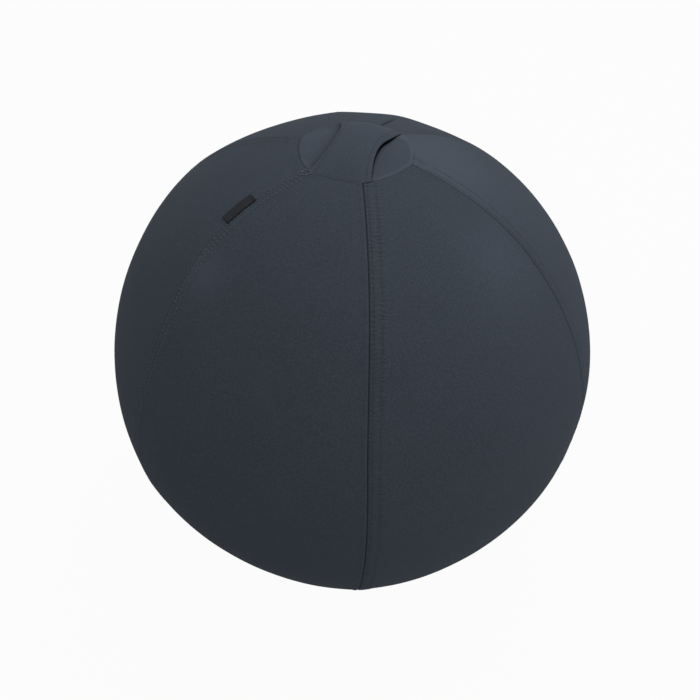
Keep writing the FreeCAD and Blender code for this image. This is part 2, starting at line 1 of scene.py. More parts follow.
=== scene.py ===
import json
import math
import bmesh
import bpy
from mathutils import Matrix, Vector, noise
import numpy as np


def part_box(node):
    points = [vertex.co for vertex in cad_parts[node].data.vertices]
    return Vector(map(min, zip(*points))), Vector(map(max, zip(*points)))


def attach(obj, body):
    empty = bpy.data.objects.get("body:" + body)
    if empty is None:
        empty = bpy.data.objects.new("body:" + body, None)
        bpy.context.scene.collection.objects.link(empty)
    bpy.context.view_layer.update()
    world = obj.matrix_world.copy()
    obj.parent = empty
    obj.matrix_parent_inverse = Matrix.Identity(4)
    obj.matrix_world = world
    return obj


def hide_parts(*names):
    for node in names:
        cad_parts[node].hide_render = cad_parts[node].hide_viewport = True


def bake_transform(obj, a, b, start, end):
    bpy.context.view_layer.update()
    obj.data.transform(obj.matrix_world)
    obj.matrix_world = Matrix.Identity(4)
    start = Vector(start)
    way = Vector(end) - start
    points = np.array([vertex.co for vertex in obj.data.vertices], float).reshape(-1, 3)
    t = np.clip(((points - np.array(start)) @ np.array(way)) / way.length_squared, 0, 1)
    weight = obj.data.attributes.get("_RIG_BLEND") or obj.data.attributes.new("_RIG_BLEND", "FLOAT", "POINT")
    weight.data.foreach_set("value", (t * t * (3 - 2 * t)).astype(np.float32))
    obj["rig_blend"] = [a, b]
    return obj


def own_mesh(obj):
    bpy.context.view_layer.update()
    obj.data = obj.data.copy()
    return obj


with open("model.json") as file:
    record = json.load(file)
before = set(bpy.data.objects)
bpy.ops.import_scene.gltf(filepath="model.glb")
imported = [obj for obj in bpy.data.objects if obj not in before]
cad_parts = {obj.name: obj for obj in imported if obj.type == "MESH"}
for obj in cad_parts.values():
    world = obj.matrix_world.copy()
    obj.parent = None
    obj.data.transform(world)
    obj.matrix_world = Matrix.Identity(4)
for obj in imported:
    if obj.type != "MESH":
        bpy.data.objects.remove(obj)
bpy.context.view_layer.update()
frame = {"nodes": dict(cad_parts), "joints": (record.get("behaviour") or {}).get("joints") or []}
print("frame loaded:", len(frame["nodes"]), "nodes")


class Wire:  # a node's output that can be reckoned with like a number
    def __init__(self, tree, socket=None):
        self.tree = tree
        self.socket = socket

    def node(self, kind, settings=None, inputs=None, output=0):
        made = self.tree.nodes.new("ShaderNode" + kind)
        for name, value in (settings or {}).items():
            setattr(made, name, value)
        for name, value in (inputs or {}).items():
            if isinstance(value, Wire):
                self.tree.links.new(value.socket, made.inputs[name])
            else:
                made.inputs[name].default_value = value
        if isinstance(output, tuple):
            return [Wire(self.tree, made.outputs[one]) for one in output]
        return Wire(self.tree, made.outputs[output] if len(made.outputs) else None)

    def math(self, operation, *values):
        return self.node("Math", {"operation": operation}, dict(enumerate(values)))

    def __add__(self, other):
        return self.math("ADD", self, other)

    def __radd__(self, other):
        return self.math("ADD", other, self)

    def __sub__(self, other):
        return self.math("SUBTRACT", self, other)

    def __rsub__(self, other):
        return self.math("SUBTRACT", other, self)

    def __mul__(self, other):
        return self.math("MULTIPLY", self, other)

    def __rmul__(self, other):
        return self.math("MULTIPLY", other, self)

    def wave(self, pitch):
        return self.math("SINE", self * (2 * math.pi / pitch))

    def step(self, low, high):
        inputs = {"Value": self, "From Min": low, "From Max": high}
        return self.node("MapRange", {"interpolation_type": "SMOOTHSTEP"}, inputs)

    def noise(self, scale, detail=2.0, roughness=0.5):
        inputs = {"Vector": self, "Scale": scale, "Detail": detail, "Roughness": roughness}
        return self.node("TexNoise", {}, inputs)

    def mix(self, first, second):
        inputs = {0: self, 6: first, 7: second}
        return self.node("Mix", {"data_type": "RGBA"}, inputs, 2)

    def bump(self, depth):
        return self.node("Bump", {}, {"Height": self, "Distance": depth, "Strength": 1.0})

    def place(self):  # where on the piece, in metres
        return self.node("TexCoord", {}, {}, "Object")

    def mark(self, name):  # a value that the cloth's points carry
        return self.node("Attribute", {"attribute_name": name}, {}, "Fac")


def newFinish(name):
    finish = bpy.data.materials.new(name)
    finish.use_nodes = True
    finish.node_tree.nodes.clear()
    return finish, Wire(finish.node_tree)


def coat(wire, **inputs):  # the shader that a finish ends in, with its sockets named as in Blender
    named = {name.replace("_", " "): value for name, value in inputs.items()}
    shader = wire.node("BsdfPrincipled", {}, named)
    wire.node("OutputMaterial", {}, {"Surface": shader})


def opaque(colour):
    return (*colour, 1.0)


# cloths, by what is made of them; each look's fold colour is the painted shade that its creases, seams and
# edges are mixed towards

coverLook = {
    "name": "coverFabric",
    "colour": (0.0347, 0.0424, 0.0541),
    "fleck": (0.0506, 0.0614, 0.0783),
    "fold": (0.007, 0.009, 0.012),
    # painted light: the paler colour that the cover is mixed towards at the spots listed below and beside
    # the handle
    "paintedPale": (0.130, 0.158, 0.200),
    "weave": "plain",
    "pitch": 0.0011,
    "depth": 0.00016,
    "fleckScale": 520.0,
    "ripple": (0.0050, 3.4),  # pitch and height of the puckers beside a seam
    "roughness": (0.78, 0.92),
    "sheen": 0.008,
    "specular": 0.03,
}
baseLook = {
    "name": "baseCloth",
    "colour": (0.020, 0.022, 0.026),
    "fleck": (0.036, 0.039, 0.045),
    "fold": (0.006, 0.006, 0.008),
    "weave": "plain",
    "pitch": 0.0022,
    "depth": 0.00040,
    "fleckScale": 300.0,
    "roughness": (0.55, 0.75),
    "sheen": 0.05,
    "specular": 0.25,
}
webbingLook = {
    "name": "strapWebbing",
    "colour": (0.022, 0.024, 0.028),
    "fleck": (0.040, 0.043, 0.050),
    "fold": (0.006, 0.006, 0.008),
    "weave": "twill",
    "pitch": 0.0024,
    "depth": 0.00045,
    "fleckScale": 400.0,
    "roughness": (0.60, 0.80),
    "sheen": 0.08,
    "specular": 0.20,
}
bindingLook = {
    "name": "seamBinding",
    "colour": (0.034, 0.038, 0.045),
    "fleck": (0.052, 0.057, 0.066),
    "fold": (0.008, 0.009, 0.011),
    "weave": "rib",
    "pitch": 0.0013,
    "depth": 0.00025,
    "fleckScale": 450.0,
    "roughness": (0.68, 0.85),
    "sheen": 0.10,
    "specular": 0.15,
}
labelLook = {
    "name": "labelWeave",
    "colour": (0.0155, 0.0173, 0.0213),
    "fleck": (0.0275, 0.0305, 0.0372),
    "fold": (0.002, 0.002, 0.003),
    "weave": "twill",
    "pitch": 0.0006,
    "depth": 0.00012,
    "fleckScale": 700.0,
    "roughness": (0.50, 0.66),
    "sheen": 0.01,
    "specular": 0.03,
}
zipTapeLook = {
    "name": "zipTape",
    "colour": (0.016, 0.018, 0.021),
    "fleck": (0.030, 0.033, 0.038),
    "fold": (0.005, 0.005, 0.006),
    "weave": "rib",
    "pitch": 0.0009,
    "depth": 0.00022,
    "fleckScale": 600.0,
    "roughness": (0.60, 0.78),
    "sheen": 0.06,
    "specular": 0.20,
}


clothSurface = {  # what the cloths share
    "yarn": (3.0, 0.65),  # detail and roughness of the uneven yarn
    "yarnTone": (0.36, 0.70),
    "yarnShare": 0.75,
    "threadShare": 0.10,
    "dye": (9.0, 4.0, 0.55),  # slow change in the dye and in the lie of the pile
    "dyeTone": (0.35, 0.72),
    "dyeShare": 0.16,
    "paintedLightShare": 0.2,
    "relief": (0.5, 0.9, 0.5),  # of the threads, the yarn and its slubs
    "slubScale": 130.0,
    "sheenRoughness": 0.45,
}


def clothFinish(look):
    finish, wire = newFinish(look["name"])
    flat = wire.node("UVMap", {"uv_map": "cloth"})
    across, along = wire.node("SeparateXYZ", {}, {0: flat}, (0, 1))
    place = wire.place()
    pitch = look["pitch"]
    if look["weave"] == "plain":
        threads = across.wave(pitch) * along.wave(pitch)
    elif look["weave"] == "twill":
        threads = (across + along).wave(pitch) * 0.7 + along.wave(pitch * 0.5) * 0.3
    else:
        threads = across.wave(pitch) * 0.8 + along.wave(pitch * 0.7) * 0.2
    yarn = place.noise(look["fleckScale"], *clothSurface["yarn"])
    dye = place.noise(*clothSurface["dye"])
    # painted shade: a mark that the cloth's points carry in creases, seam grooves, folds and under the
    # handle darkens the colour towards the fold colour
    paintedShade = wire.mark("paintedShade")
    fleck = opaque(look["fleck"])
    tone = yarn.step(*clothSurface["yarnTone"]) * clothSurface["yarnShare"]
    tone = tone + threads * clothSurface["threadShare"]
    colour = tone.mix(opaque(look["colour"]), fleck)
    colour = (dye.step(*clothSurface["dyeTone"]) * clothSurface["dyeShare"]).mix(colour, fleck)
    # painted light: the colour turns paler where the cloth's points carry that mark
    if "paintedPale" in look:
        colour = (wire.mark("paintedLight") * clothSurface["paintedLightShare"]).mix(colour, opaque(look["paintedPale"]))
    colour = paintedShade.mix(colour, opaque(look["fold"]))
    low, high = look["roughness"]
    rough = low + (high - low) * yarn.step(0.3, 0.7) + paintedShade * 0.05
    ofThreads, ofYarn, ofSlubs = clothSurface["relief"]
    height = threads * ofThreads + yarn * ofYarn + place.noise(clothSurface["slubScale"]) * ofSlubs
    if "ripple" in look:
        ripplePitch, rippleRise = look["ripple"]
        uneven = along + place.noise(70.0) * 0.010
        patchy = 0.3 + 0.7 * place.noise(45.0).step(0.36, 0.62)
        height = height + uneven.wave(ripplePitch) * wire.mark("pucker") * patchy * rippleRise
    coat(
        wire,
        Base_Color=colour,
        Roughness=rough,
        Normal=height.bump(look["depth"]),
        Sheen_Weight=look["sheen"],
        Sheen_Roughness=clothSurface["sheenRoughness"],
        Specular_IOR_Level=look["specular"],
    )
    return finish


seamThreadLook = {
    "name": "seamThread",
    "colour": (0.066, 0.077, 0.092),
    "shade": (0.026, 0.031, 0.038),
    "twist": 0.00055,
}
topThreadLook = {
    "name": "topThread",
    "colour": (0.108, 0.130, 0.158),
    "shade": (0.046, 0.056, 0.069),
    "twist": 0.00075,
}
tackThreadLook = {
    "name": "tackThread",
    "colour": (0.190, 0.212, 0.240),
    "shade": (0.085, 0.096, 0.110),
    "twist": 0.00075,
}


def threadFinish(look):
    finish, wire = newFinish(look["name"])
    place = wire.place()
    x, y, z = wire.node("SeparateXYZ", {}, {0: place}, (0, 1, 2))
    twist = (x * 0.7 + y * 0.8 + z).wave(look["twist"])  # the ply's lay
    fuzz = place.noise(900.0, 2.0)
    colour = (fuzz * 0.6 + twist * 0.2).mix(opaque(look["shade"]), opaque(look["colour"]))
    rough = 0.55 + 0.25 * fuzz
    coat(
        wire,
        Base_Color=colour,
        Roughness=rough,
        Normal=twist.bump(0.00008),
        Sheen_Weight=0.05,
        Specular_IOR_Level=0.12,
    )
    return finish


coilLook = {"colour": (0.014, 0.015, 0.017), "edge": (0.045, 0.047, 0.052)}


def coilFinish():
    finish, wire = newFinish("zipCoil")
    place = wire.place()
    rub = place.noise(420.0, 3.0, 0.6).step(0.48, 0.72)
    colour = (rub * 0.6).mix(opaque(coilLook["colour"]), opaque(coilLook["edge"]))
    coat(wire, Base_Color=colour, Roughness=0.34 + 0.22 * rub, Normal=place.noise(1500.0).bump(0.00004))
    return finish


metalLook = {"lacquer": (0.028, 0.029, 0.032), "bare": (0.30, 0.29, 0.28)}


def metalFinish():
    finish, wire = newFinish("zipMetal")
    place = wire.place()
    scuff = place.noise(650.0, 4.0, 0.7).step(0.60, 0.74)
    worn = scuff * 0.7 + place.noise(120.0, 3.0).step(0.50, 0.75) * 0.25
    colour = worn.mix(opaque(metalLook["lacquer"]), opaque(metalLook["bare"]))
    rough = 0.38 + 0.2 * place.noise(240.0, 3.0) - 0.1 * worn
    coat(wire, Base_Color=colour, Roughness=rough, Metallic=worn * 0.9, Normal=scuff.bump(0.00003))
    return finish


vinylLook = {"colour": (0.052, 0.056, 0.064), "bloom": (0.095, 0.100, 0.110)}


def vinylFinish():
    finish, wire = newFinish("bladderVinyl")
    place = wire.place()
    bloom = place.noise(24.0, 5.0, 0.6).step(0.45, 0.75)
    grain = place.noise(900.0, 2.0)
    colour = (bloom * 0.5 + grain * 0.15).mix(opaque(vinylLook["colour"]), opaque(vinylLook["bloom"]))
    coat(wire, Base_Color=colour, Roughness=0.36 + 0.24 * bloom, Normal=grain.bump(0.00006))
    return finish


plasticLook = {"colour": (0.030, 0.031, 0.034), "rub": (0.062, 0.064, 0.068)}


def plasticFinish():
    finish, wire = newFinish("valvePlastic")
    place = wire.place()
    rub = place.noise(160.0, 4.0, 0.6).step(0.5, 0.72)
    pits = wire.node("TexVoronoi", {}, {"Vector": place, "Scale": 1400.0})
    colour = (rub * 0.7).mix(opaque(plasticLook["colour"]), opaque(plasticLook["rub"]))
    coat(wire, Base_Color=colour, Roughness=0.42 + 0.2 * rub, Normal=pits.bump(0.00004))
    return finish


grainLook = {"colour": (0.30, 0.25, 0.18), "dark": (0.12, 0.095, 0.07), "size": 0.0022}


def grainFinish():
    finish, wire = newFinish("ballastGrain")
    place = wire.place()
    near, tone = wire.node("TexVoronoi", {}, {"Vector": place, "Scale": 1 / grainLook["size"]}, (0, 1))
    tint = wire.node("SeparateColor", {}, {0: tone})
    # grains darken towards their edges: painted shade in the gaps between them, with a random tint
    colour = (tint * 0.8 + near * 0.2).mix(opaque(grainLook["colour"]), opaque(grainLook["dark"]))
    coat(wire, Base_Color=colour, Roughness=0.75 + 0.2 * tint, Normal=(1 - near).bump(0.0008))
    return finish


coverFabric = clothFinish(coverLook)
baseCloth = clothFinish(baseLook)
strapWebbing = clothFinish(webbingLook)
seamBinding = clothFinish(bindingLook)
labelWeave = clothFinish(labelLook)
zipTape = clothFinish(zipTapeLook)
seamThread = threadFinish(seamThreadLook)
topThread = threadFinish(topThreadLook)
tackThread = threadFinish(tackThreadLook)
zipCoil = coilFinish()
zipMetal = metalFinish()
bladderVinyl = vinylFinish()
valvePlastic = plasticFinish()
ballastGrain = grainFinish()
print("finishes made")

# the ball's own shape, in metres and degrees

ball = {
    "radius": 0.325,
    "panelSag": 0.004,  # a panel flattens this much midway between its seams
    "sagShare": (1.0, 1.0, 1.0, 1.0, 0.55, 0.9),  # of each panel, in the panels' order
    "crownRadius": 0.070,
    "crownAside": 0.95,  # the crown's rim sits this many degrees off the top
    "crownAsideTurn": -50.0,
    "rimFlat": 0.6,  # the rim comes in this many degrees between its six corners
    "napeDip": 0.0020,  # the cover lies lower behind the crown
    "napeHeight": (0.62, 0.90),  # where that comes in, as shares of the radius upwards
    "napeBack": (0.0, 0.30),  # and backwards
    "lowest": 0.0048,  # the cover can't sink further, as the bladder is under it
    "hemRadius": 0.1952,
    "hemCalm": 0.014,  # the cover lies even this far up from its hem, clear of the zip's slider
    "contactRadius": 0.075,
    "slowWaves": (0.0005, 0.11, 0.00022, 0.042),  # rise and length of the cover's unevenness
}
swells = [  # where the cover stands out or is drawn in: degrees down and round, metres of rise and reach
    {"polar": 51.0, "turn": -83.0, "rise": 0.0026, "reach": 0.070},
    {"polar": 94.0, "turn": 90.0, "rise": -0.0030, "reach": 0.050},
    {"polar": 28.0, "turn": -174.0, "rise": 0.0020, "reach": 0.030},
]
plainSeam = {
    "leanFade": 8.0,  # degrees down over which the lean at the crown dies away
    "wave": 0.0,
    "bow": 0.0,
    "groove": (0.60, 0.60),  # how sharp its line is near the crown and further down
    "ridge": (0.15, 0.80),  # how far its allowance shows
    "rows": (0.0042, 0.0138),  # stitches through the allowance, which lies on the +azimuth side
}
seams = [  # azimuth from the front towards +X with its lean at the crown, wave and bow, in degrees
    {
        **plainSeam,
        "name": "back",
        "turn": -149.0,
        "crownLean": 15.0,
        "leanFade": 12.0,
        "groove": (0.12, 0.60),
    },
    {
        **plainSeam,
        "name": "farLeft",
        "turn": -92.0,
        "crownLean": 9.0,
        "groove": (0.03, 0.60),
    },
    {
        **plainSeam,
        "name": "left",
        "turn": -30.7,
        "crownLean": 5.6,
        "wave": -2.0,
        "bow": 2.0,
        "groove": (0.20, 0.12),
        "ridge": (0.40, 0.40),
        "rows": (0.0010, 0.0085),
    },
    {
        **plainSeam,
        "name": "centre",
        "turn": 29.1,
        "crownLean": -0.8,
        "wave": 0.3,
        "groove": (0.80, 0.80),
        "ridge": (1.0, 1.0),
    },
    {
        **plainSeam,
        "name": "right",
        "turn": 90.4,
        "crownLean": -1.5,
        "wave": 0.5,
        "ridge": (0.35, 0.50),
    },
    {
        **plainSeam,
        "name": "farRight",
        "turn": 150.8,
        "crownLean": 1.6,
        "groove": (0.05, 0.60),
        "ridge": (0.20, 0.80),
    },
]
seamNames = [seam["name"] for seam in seams]
panelNames = [
    "gore_back_left",
    "gore_front_left",
    "gore_front",
    "gore_front_right",
    "gore_back_right",
    "gore_back",
]
waveLength = 68.0  # of a seam's wave, in degrees down
waveFade = (120, 70)  # where the wave ends and where it is full

ballCentre = Vector((0, 0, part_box("crown_disc")[1].z - ball["radius"]))
baseRadius = math.hypot(ballCentre.z, ball["contactRadius"])
crownPolar = math.degrees(math.asin(ball["crownRadius"] / ball["radius"]))
hemSeamPolar = 180 - math.degrees(math.asin(ball["hemRadius"] / ball["radius"]))


def ease(low, high, value):
    share = min(max((value - low) / (high - low), 0.0), 1.0)
    return share * share * (3 - 2 * share)


def hump(value, middle, width):
    return math.exp(-(((value - middle) / width) ** 2))


def pinch(gap, width):  # sharper than a hump
    return math.exp(-((gap / width) ** 1.4))


def between(ends, share):
    return ends[0] + share * (ends[1] - ends[0])


def outward(polar, azimuth):
    down, turn = math.radians(polar), math.radians(azimuth)
    return Vector((math.sin(down) * math.sin(turn), -math.sin(down) * math.cos(turn), math.cos(down)))


def arc(degrees):  # metres along the ball
    return ball["radius"] * math.radians(degrees)


def arcDegrees(metres):
    return math.degrees(metres / ball["radius"])


def ringRadius(polar):  # from the ball's upright axis
    return ball["radius"] * math.sin(math.radians(polar))


def onBall(out, lift):
    return ballCentre + out * (ball["radius"] + lift)


def seamAzimuth(index, polar):
    seam = seams[index % len(seams)]
    below = polar - crownPolar
    lean = seam["crownLean"] * math.exp(-max(below, 0) / seam["leanFade"])
    wave = seam["wave"] * math.sin(2 * math.pi * below / waveLength) * ease(*waveFade, polar)
    bow = seam["bow"] * math.sin(math.pi * below / (hemSeamPolar - crownPolar))
    return seam["turn"] + lean + wave + bow + 360 * (index // len(seams))


crownTurns = [seamAzimuth(index, crownPolar) for index in range(len(seams) + 1)]  # the rim's corners


def alongRim(azimuth):  # the panel below a place on the rim, and how far across it that is
    turn = crownTurns[0] + (azimuth - crownTurns[0]) % 360
    index = max(one for one in range(len(seams)) if crownTurns[one] <= turn)
    return index, (turn - crownTurns[index]) / (crownTurns[index + 1] - crownTurns[index])


def rimPolar(index, place):
    index = index % len(seams)
    azimuth = crownTurns[index] + place * (crownTurns[index + 1] - crownTurns[index])
    aside = ball["crownAside"] * math.cos(math.radians(azimuth - ball["crownAsideTurn"]))
    return crownPolar + aside - ball["rimFlat"] * 4 * place * (1 - place)


def panelSag(index, place, polar):
    share = ball["sagShare"][index % len(seams)]
    return share * ball["panelSag"] * math.sin(math.radians(polar)) * (1 - (2 * place - 1) ** 2)


def hemPolar(index, place):
    reach = ball["radius"] - panelSag(index, place, hemSeamPolar)
    return 180 - math.degrees(math.asin(ball["hemRadius"] / reach))


seamLook = {
    "reach": 0.045,
    "grooveDepth": 0.0014,
    "grooveWidth": 0.0007,
    "grooveDark": 0.58,
    "hem": 0.0027,  # of the allowance past its second row of stitches
    "allowanceRise": 0.0005,
    "allowanceEdges": (0.0025, 0.003, 0.004),  # it comes up by the seam and goes down at its end
    "rowDip": (0.0003, 0.0014),  # depth and width along a row of stitches
    "rowDark": (0.10, 0.0012),
    "roll": (0.0005, 0.0030, 0.0026),  # rise, place and width of the plain side's soft edge
    "puckerPitch": 0.0065,
    "puckerRise": 0.0006,
    "puckerReach": (0.75, 0.005, 0.0085),  # share, place and width on the plain side
    "change": (0.25, 0.40),  # metres down from the top over which a seam changes
}


def seamShare(index, what, along):
    near, far = seams[index % len(seams)][what]
    return near + (far - near) * ease(*seamLook["change"], along)


def seamRelief(index, side, along):  # lift and painted shade at a distance to one side of a seam
    gap = abs(side)
    if gap > seamLook["reach"]:
        return 0.0, 0.0
    rows = seams[index % len(seams)]["rows"]
    groove, ridge = seamShare(index, "groove", along), seamShare(index, "ridge", along)
    lift = -seamLook["grooveDepth"] * groove * pinch(gap, seamLook["grooveWidth"])
    # painted shade in the seam's groove and along its rows of stitches
    dark = seamLook["grooveDark"] * groove * hump(gap, 0, seamLook["grooveWidth"])
    gather = Vector((along / seamLook["puckerPitch"], 7.3 * (index % len(seams)), side / 0.010))
    if side > 0:
        end = rows[1] + seamLook["hem"]
        up, before, after = seamLook["allowanceEdges"]
        flap = ease(0, up, side) - ease(end - before, end + after, side)
        lift += seamLook["allowanceRise"] * ridge * flap
        dip, dipWidth = seamLook["rowDip"]
        shade, shadeWidth = seamLook["rowDark"]
        for row in rows:
            lift -= dip * ridge * hump(side, row, dipWidth)
            dark += shade * ridge * hump(side, row, shadeWidth)
        reach = hump(side, end / 2, end / 2)
    else:
        rise, *roll = seamLook["roll"]
        share, *spread = seamLook["puckerReach"]
        lift += rise * ridge * hump(gap, *roll)
        reach = share * hump(gap, *spread)
    lift += seamLook["puckerRise"] * (0.3 + 0.7 * ridge) * reach * noise.noise(gather)
    return lift, dark


def puckered(index, side, along):  # how much the cloth ripples at a distance to one side of a seam
    if not -0.01 < side < 0.03:
        return 0.0
    first, second = seams[index % len(seams)]["rows"]
    return seamShare(index, "ridge", along) * (hump(side, first, 0.0026) + hump(side, second, 0.0042))


crownLook = {
    "rows": 64,
    "columns": 300,
    "rimReach": 0.03,
    "grooveDepth": 0.0016,
    "grooveWidth": 0.0008,
    "grooveDark": 0.7,
    "grooveShare": (0.02, 0.44, 0.03, 0.26, 0.02, 0.02),  # beside each panel, in the panels' order
    "grooveBlend": 0.10,  # of a panel's width, to either side of a seam
    "roll": (0.0006, 0.0034, 0.0030),  # rise, place and width of the soft edge beside the groove
    "gatherPitch": 0.010,
    "gatherRise": 0.0008,
    "gatherFade": 0.011,
    "pocket": 0.0034,  # room for the fingers under the handle
    "pocketEdges": ((-0.0005, 0.0035), (-0.0003, 0.0022)),  # inwards from the handle's left and right edge
    "leftDip": (0.0044, 0.034),  # depth and width of the hollow along the handle's left edge
    "dipEnds": (0.80, 0.45),  # how far along to the front and to the rear it stays full
    # painted shade along the handle's left edge: strength and reach
    "leftShade": (0.26, 0.0075),
    "slitShade": (0.85, -0.0002, 0.0016),  # strength and reach of the painted shade under the handle's right edge
    "paintedPale": (0.4, 1.0),  # painted light to the handle's left and right
    "paintedPaleEdges": (0.010, 0.004),
    "thickness": 0.0012,
    "flat": (0.160, 0.160),
    "flatArea": 0.0185,
}
rimTicks = [  # short creases along the rim: azimuth, reach to each side and strength
    {"turn": 33.5, "half": 4.0, "share": 0.75},
    {"turn": 99.0, "half": 9.0, "share": 0.30},
]
tensionFolds = [  # short folds down from the crown's rim: azimuth, then length, depth and width in metres, and the strength of the painted shade in the fold
    {"turn": -176.8, "length": 0.072, "depth": 0.0018, "width": 0.0030, "dark": 0.66},
    {"turn": 98.0, "length": 0.022, "depth": 0.0007, "width": 0.0030, "dark": 0.10},
]


foldSide = (0.6, 2.2, 1.6)  # a fold's swelling on one side: share of its depth, place and width in widths


def rimGroove(index, place):  # changes from panel to panel, smoothly past the seams
    shares, blend = crownLook["grooveShare"], crownLook["grooveBlend"]
    azimuth = between(crownTurns[index : index + 2], place)
    groove = sum(tick["share"] * hump(azimuth, tick["turn"], tick["half"]) for tick in rimTicks)
    if place < 0.5:
        return groove + between((shares[index - 1], shares[index]), ease(-blend, blend, place))
    after = shares[(index + 1) % len(shares)]
    return groove + between((shares[index], after), ease(1 - blend, 1 + blend, place))


def rimRelief(below, index, place, azimuth):  # lift and painted shade at a distance from the crown's rim
    gap = abs(below)
    lift, dark = 0.0, 0.0
    if gap < crownLook["rimReach"]:
        groove = rimGroove(index, place)
        rise, *roll = crownLook["roll"]
        lift -= crownLook["grooveDepth"] * groove * pinch(gap, crownLook["grooveWidth"])
        lift += rise * groove * hump(gap, *roll)
        # painted shade in the rim's groove
        dark += crownLook["grooveDark"] * groove * hump(gap, 0, crownLook["grooveWidth"])
        run = ball["crownRadius"] * math.radians(azimuth % 360)
        gather = noise.noise(Vector((run / crownLook["gatherPitch"], 3.1, gap / 0.02)))
        gather *= math.exp(-gap / crownLook["gatherFade"]) * ease(0, 0.003, gap)
        lift += crownLook["gatherRise"] * gather
    for fold in tensionFolds:
        turn = (azimuth - fold["turn"] + 180) % 360 - 180
        aside = (ball["crownRadius"] + 0.9 * below) * math.radians(turn)
        if 0 < below < fold["length"] and abs(aside) < 0.02:
            fade = ease(fold["length"], 0.4 * fold["length"], below) * ease(0, 0.007, below)
            depth, width = fold["depth"] * fade, fold["width"]
            share, shift, spread = foldSide
            lift -= depth * hump(aside, 0, width)
            lift += share * depth * hump(aside, shift * width, spread * width)
            # painted shade in the fold
            dark += fold["dark"] * fade * hump(aside, 0, 0.6 * width)
    return lift, dark


def slowLift(direction):
    rise, length, fineRise, fineLength = ball["slowWaves"]
    point = direction * ball["radius"]
    lift = rise * noise.noise(point / length) + fineRise * noise.noise(point / fineLength)
    nape = ease(*ball["napeHeight"], direction.z) * ease(*ball["napeBack"], direction.y)
    lift -= ball["napeDip"] * nape
    for swell in swells:
        away = (point - outward(swell["polar"], swell["turn"]) * ball["radius"]).length
        if away < 2.5 * swell["reach"]:
            lift += swell["rise"] * hump(away, 0, swell["reach"])
    return lift


hemLook = {
    "fall": (0.0022, 0.0016),  # the cut edge turns in to the zip: depth and reach
    "rowDip": (0.0004, 0.0045, 0.0012),  # depth, place and width along the stitches
    # painted shade along the cut edge as it turns in: strength and reach
    "dark": (0.5, 0.002),
}


def panelRelief(index, place, polar, azimuth, width):  # lift and painted shade of the cover
    along = arc(polar)
    below = arc(polar - rimPolar(index, place))
    above = arc(hemPolar(index, place) - polar)
    calm = ease(0.0, ball["hemCalm"], above)
    fall, fallReach = hemLook["fall"]
    dip, *row = hemLook["rowDip"]
    edgeDark, darkReach = hemLook["dark"]
    lift = slowLift(outward(polar, azimuth)) * calm - panelSag(index, place, polar)
    lift -= fall * pinch(max(above, 0), fallReach) + dip * hump(above, *row)
    dark = edgeDark * hump(above, 0, darkReach)
    reliefs = (
        seamRelief(index, place * width, along),
        seamRelief(index + 1, (place - 1) * width, along),
        rimRelief(below, index, place, azimuth),
    )
    for rise, shade in reliefs:
        lift += rise * calm
        dark += shade
    return max(lift, -ball["lowest"]), min(dark, 0.9)


paintedLightSpots = [  # where painted light makes a panel paler: polar angle, azimuth, reach in metres and strength
    {"panel": "gore_back_right", "polar": 15.0, "turn": 108.0, "reach": 0.095, "share": 0.75},
    {"panel": "gore_front_right", "polar": 38.5, "turn": 78.0, "reach": 0.055, "share": 0.45},
    {"panel": "gore_front", "polar": 43.0, "turn": -25.0, "reach": 0.030, "share": 0.45},
]


def paintedLightAt(panel, direction):
    paintedPale = 0.0
    for spot in paintedLightSpots:
        if spot["panel"] == panel:
            away = (direction - outward(spot["polar"], spot["turn"])).length * ball["radius"]
            paintedPale += spot["share"] * hump(away, 0, spot["reach"])
    return paintedPale


def acrossPanel(polar, azimuth):  # the panel at an azimuth and the place across it, from 0 to 1
    for index in range(len(seams)):
        first = seamAzimuth(index, polar)
        place = ((azimuth - first) % 360) / (seamAzimuth(index + 1, polar) - first)
        if place <= 1:
            return index, place
    return 0, 0.0


def coverPoint(polar, azimuth):
    index, place = acrossPanel(polar, azimuth)
    span = seamAzimuth(index + 1, polar) - seamAzimuth(index, polar)
    width = ringRadius(polar) * math.radians(span)
    return onBall(outward(polar, azimuth), panelRelief(index, place, polar, azimuth, width)[0])


def besideSeam(index, polar, side):  # the azimuth at a distance to one side of a seam
    return seamAzimuth(index, polar) + math.degrees(side / ringRadius(polar))


# starting sheets and the last steps that pieces share


# the marks that a cloth's points carry: painted shade, puckering and painted light
sheetMarks = ("paintedShade", "pucker", "paintedLight")
bandTop, bandTurn = 30.0, 60.0  # degrees down to a band's upper edge, and its width


def markSheet(bm):
    for name in sheetMarks:
        bm.verts.layers.float.new(name)


def fanSheet(rows, columns):  # round, rows counted from the middle out
    bm = bmesh.new()
    markSheet(bm)
    bm.verts.new((0, 0, 1))
    bmesh.ops.spin(bm, geom=bm.verts[:], axis=(1, 0, 0), angle=math.pi / 2, steps=rows)
    geom = bm.verts[:] + bm.edges[:]
    bmesh.ops.spin(bm, geom=geom, axis=(0, 0, 1), angle=2 * math.pi, steps=columns, use_merge=True)
    bmesh.ops.remove_doubles(bm, verts=bm.verts[:], dist=1e-7)
    return bm


def bandSheet(rows, columns):  # a sixth of a turn wide, clear of both poles
    bm = bmesh.new()
    markSheet(bm)
    bm.verts.new(outward(bandTop, 0))
    bmesh.ops.spin(bm, geom=bm.verts[:], axis=(1, 0, 0), angle=math.pi / 2, steps=rows)
    geom = bm.verts[:] + bm.edges[:]
    bmesh.ops.spin(bm, geom=geom, axis=(0, 0, 1), angle=math.radians(bandTurn), steps=columns)
    return bm


def stripSheet(columns, rows):  # from -1 to 1 both ways
    bm = bmesh.new()
    markSheet(bm)
    bmesh.ops.create_grid(bm, x_segments=columns, y_segments=rows, size=1)
    return bm


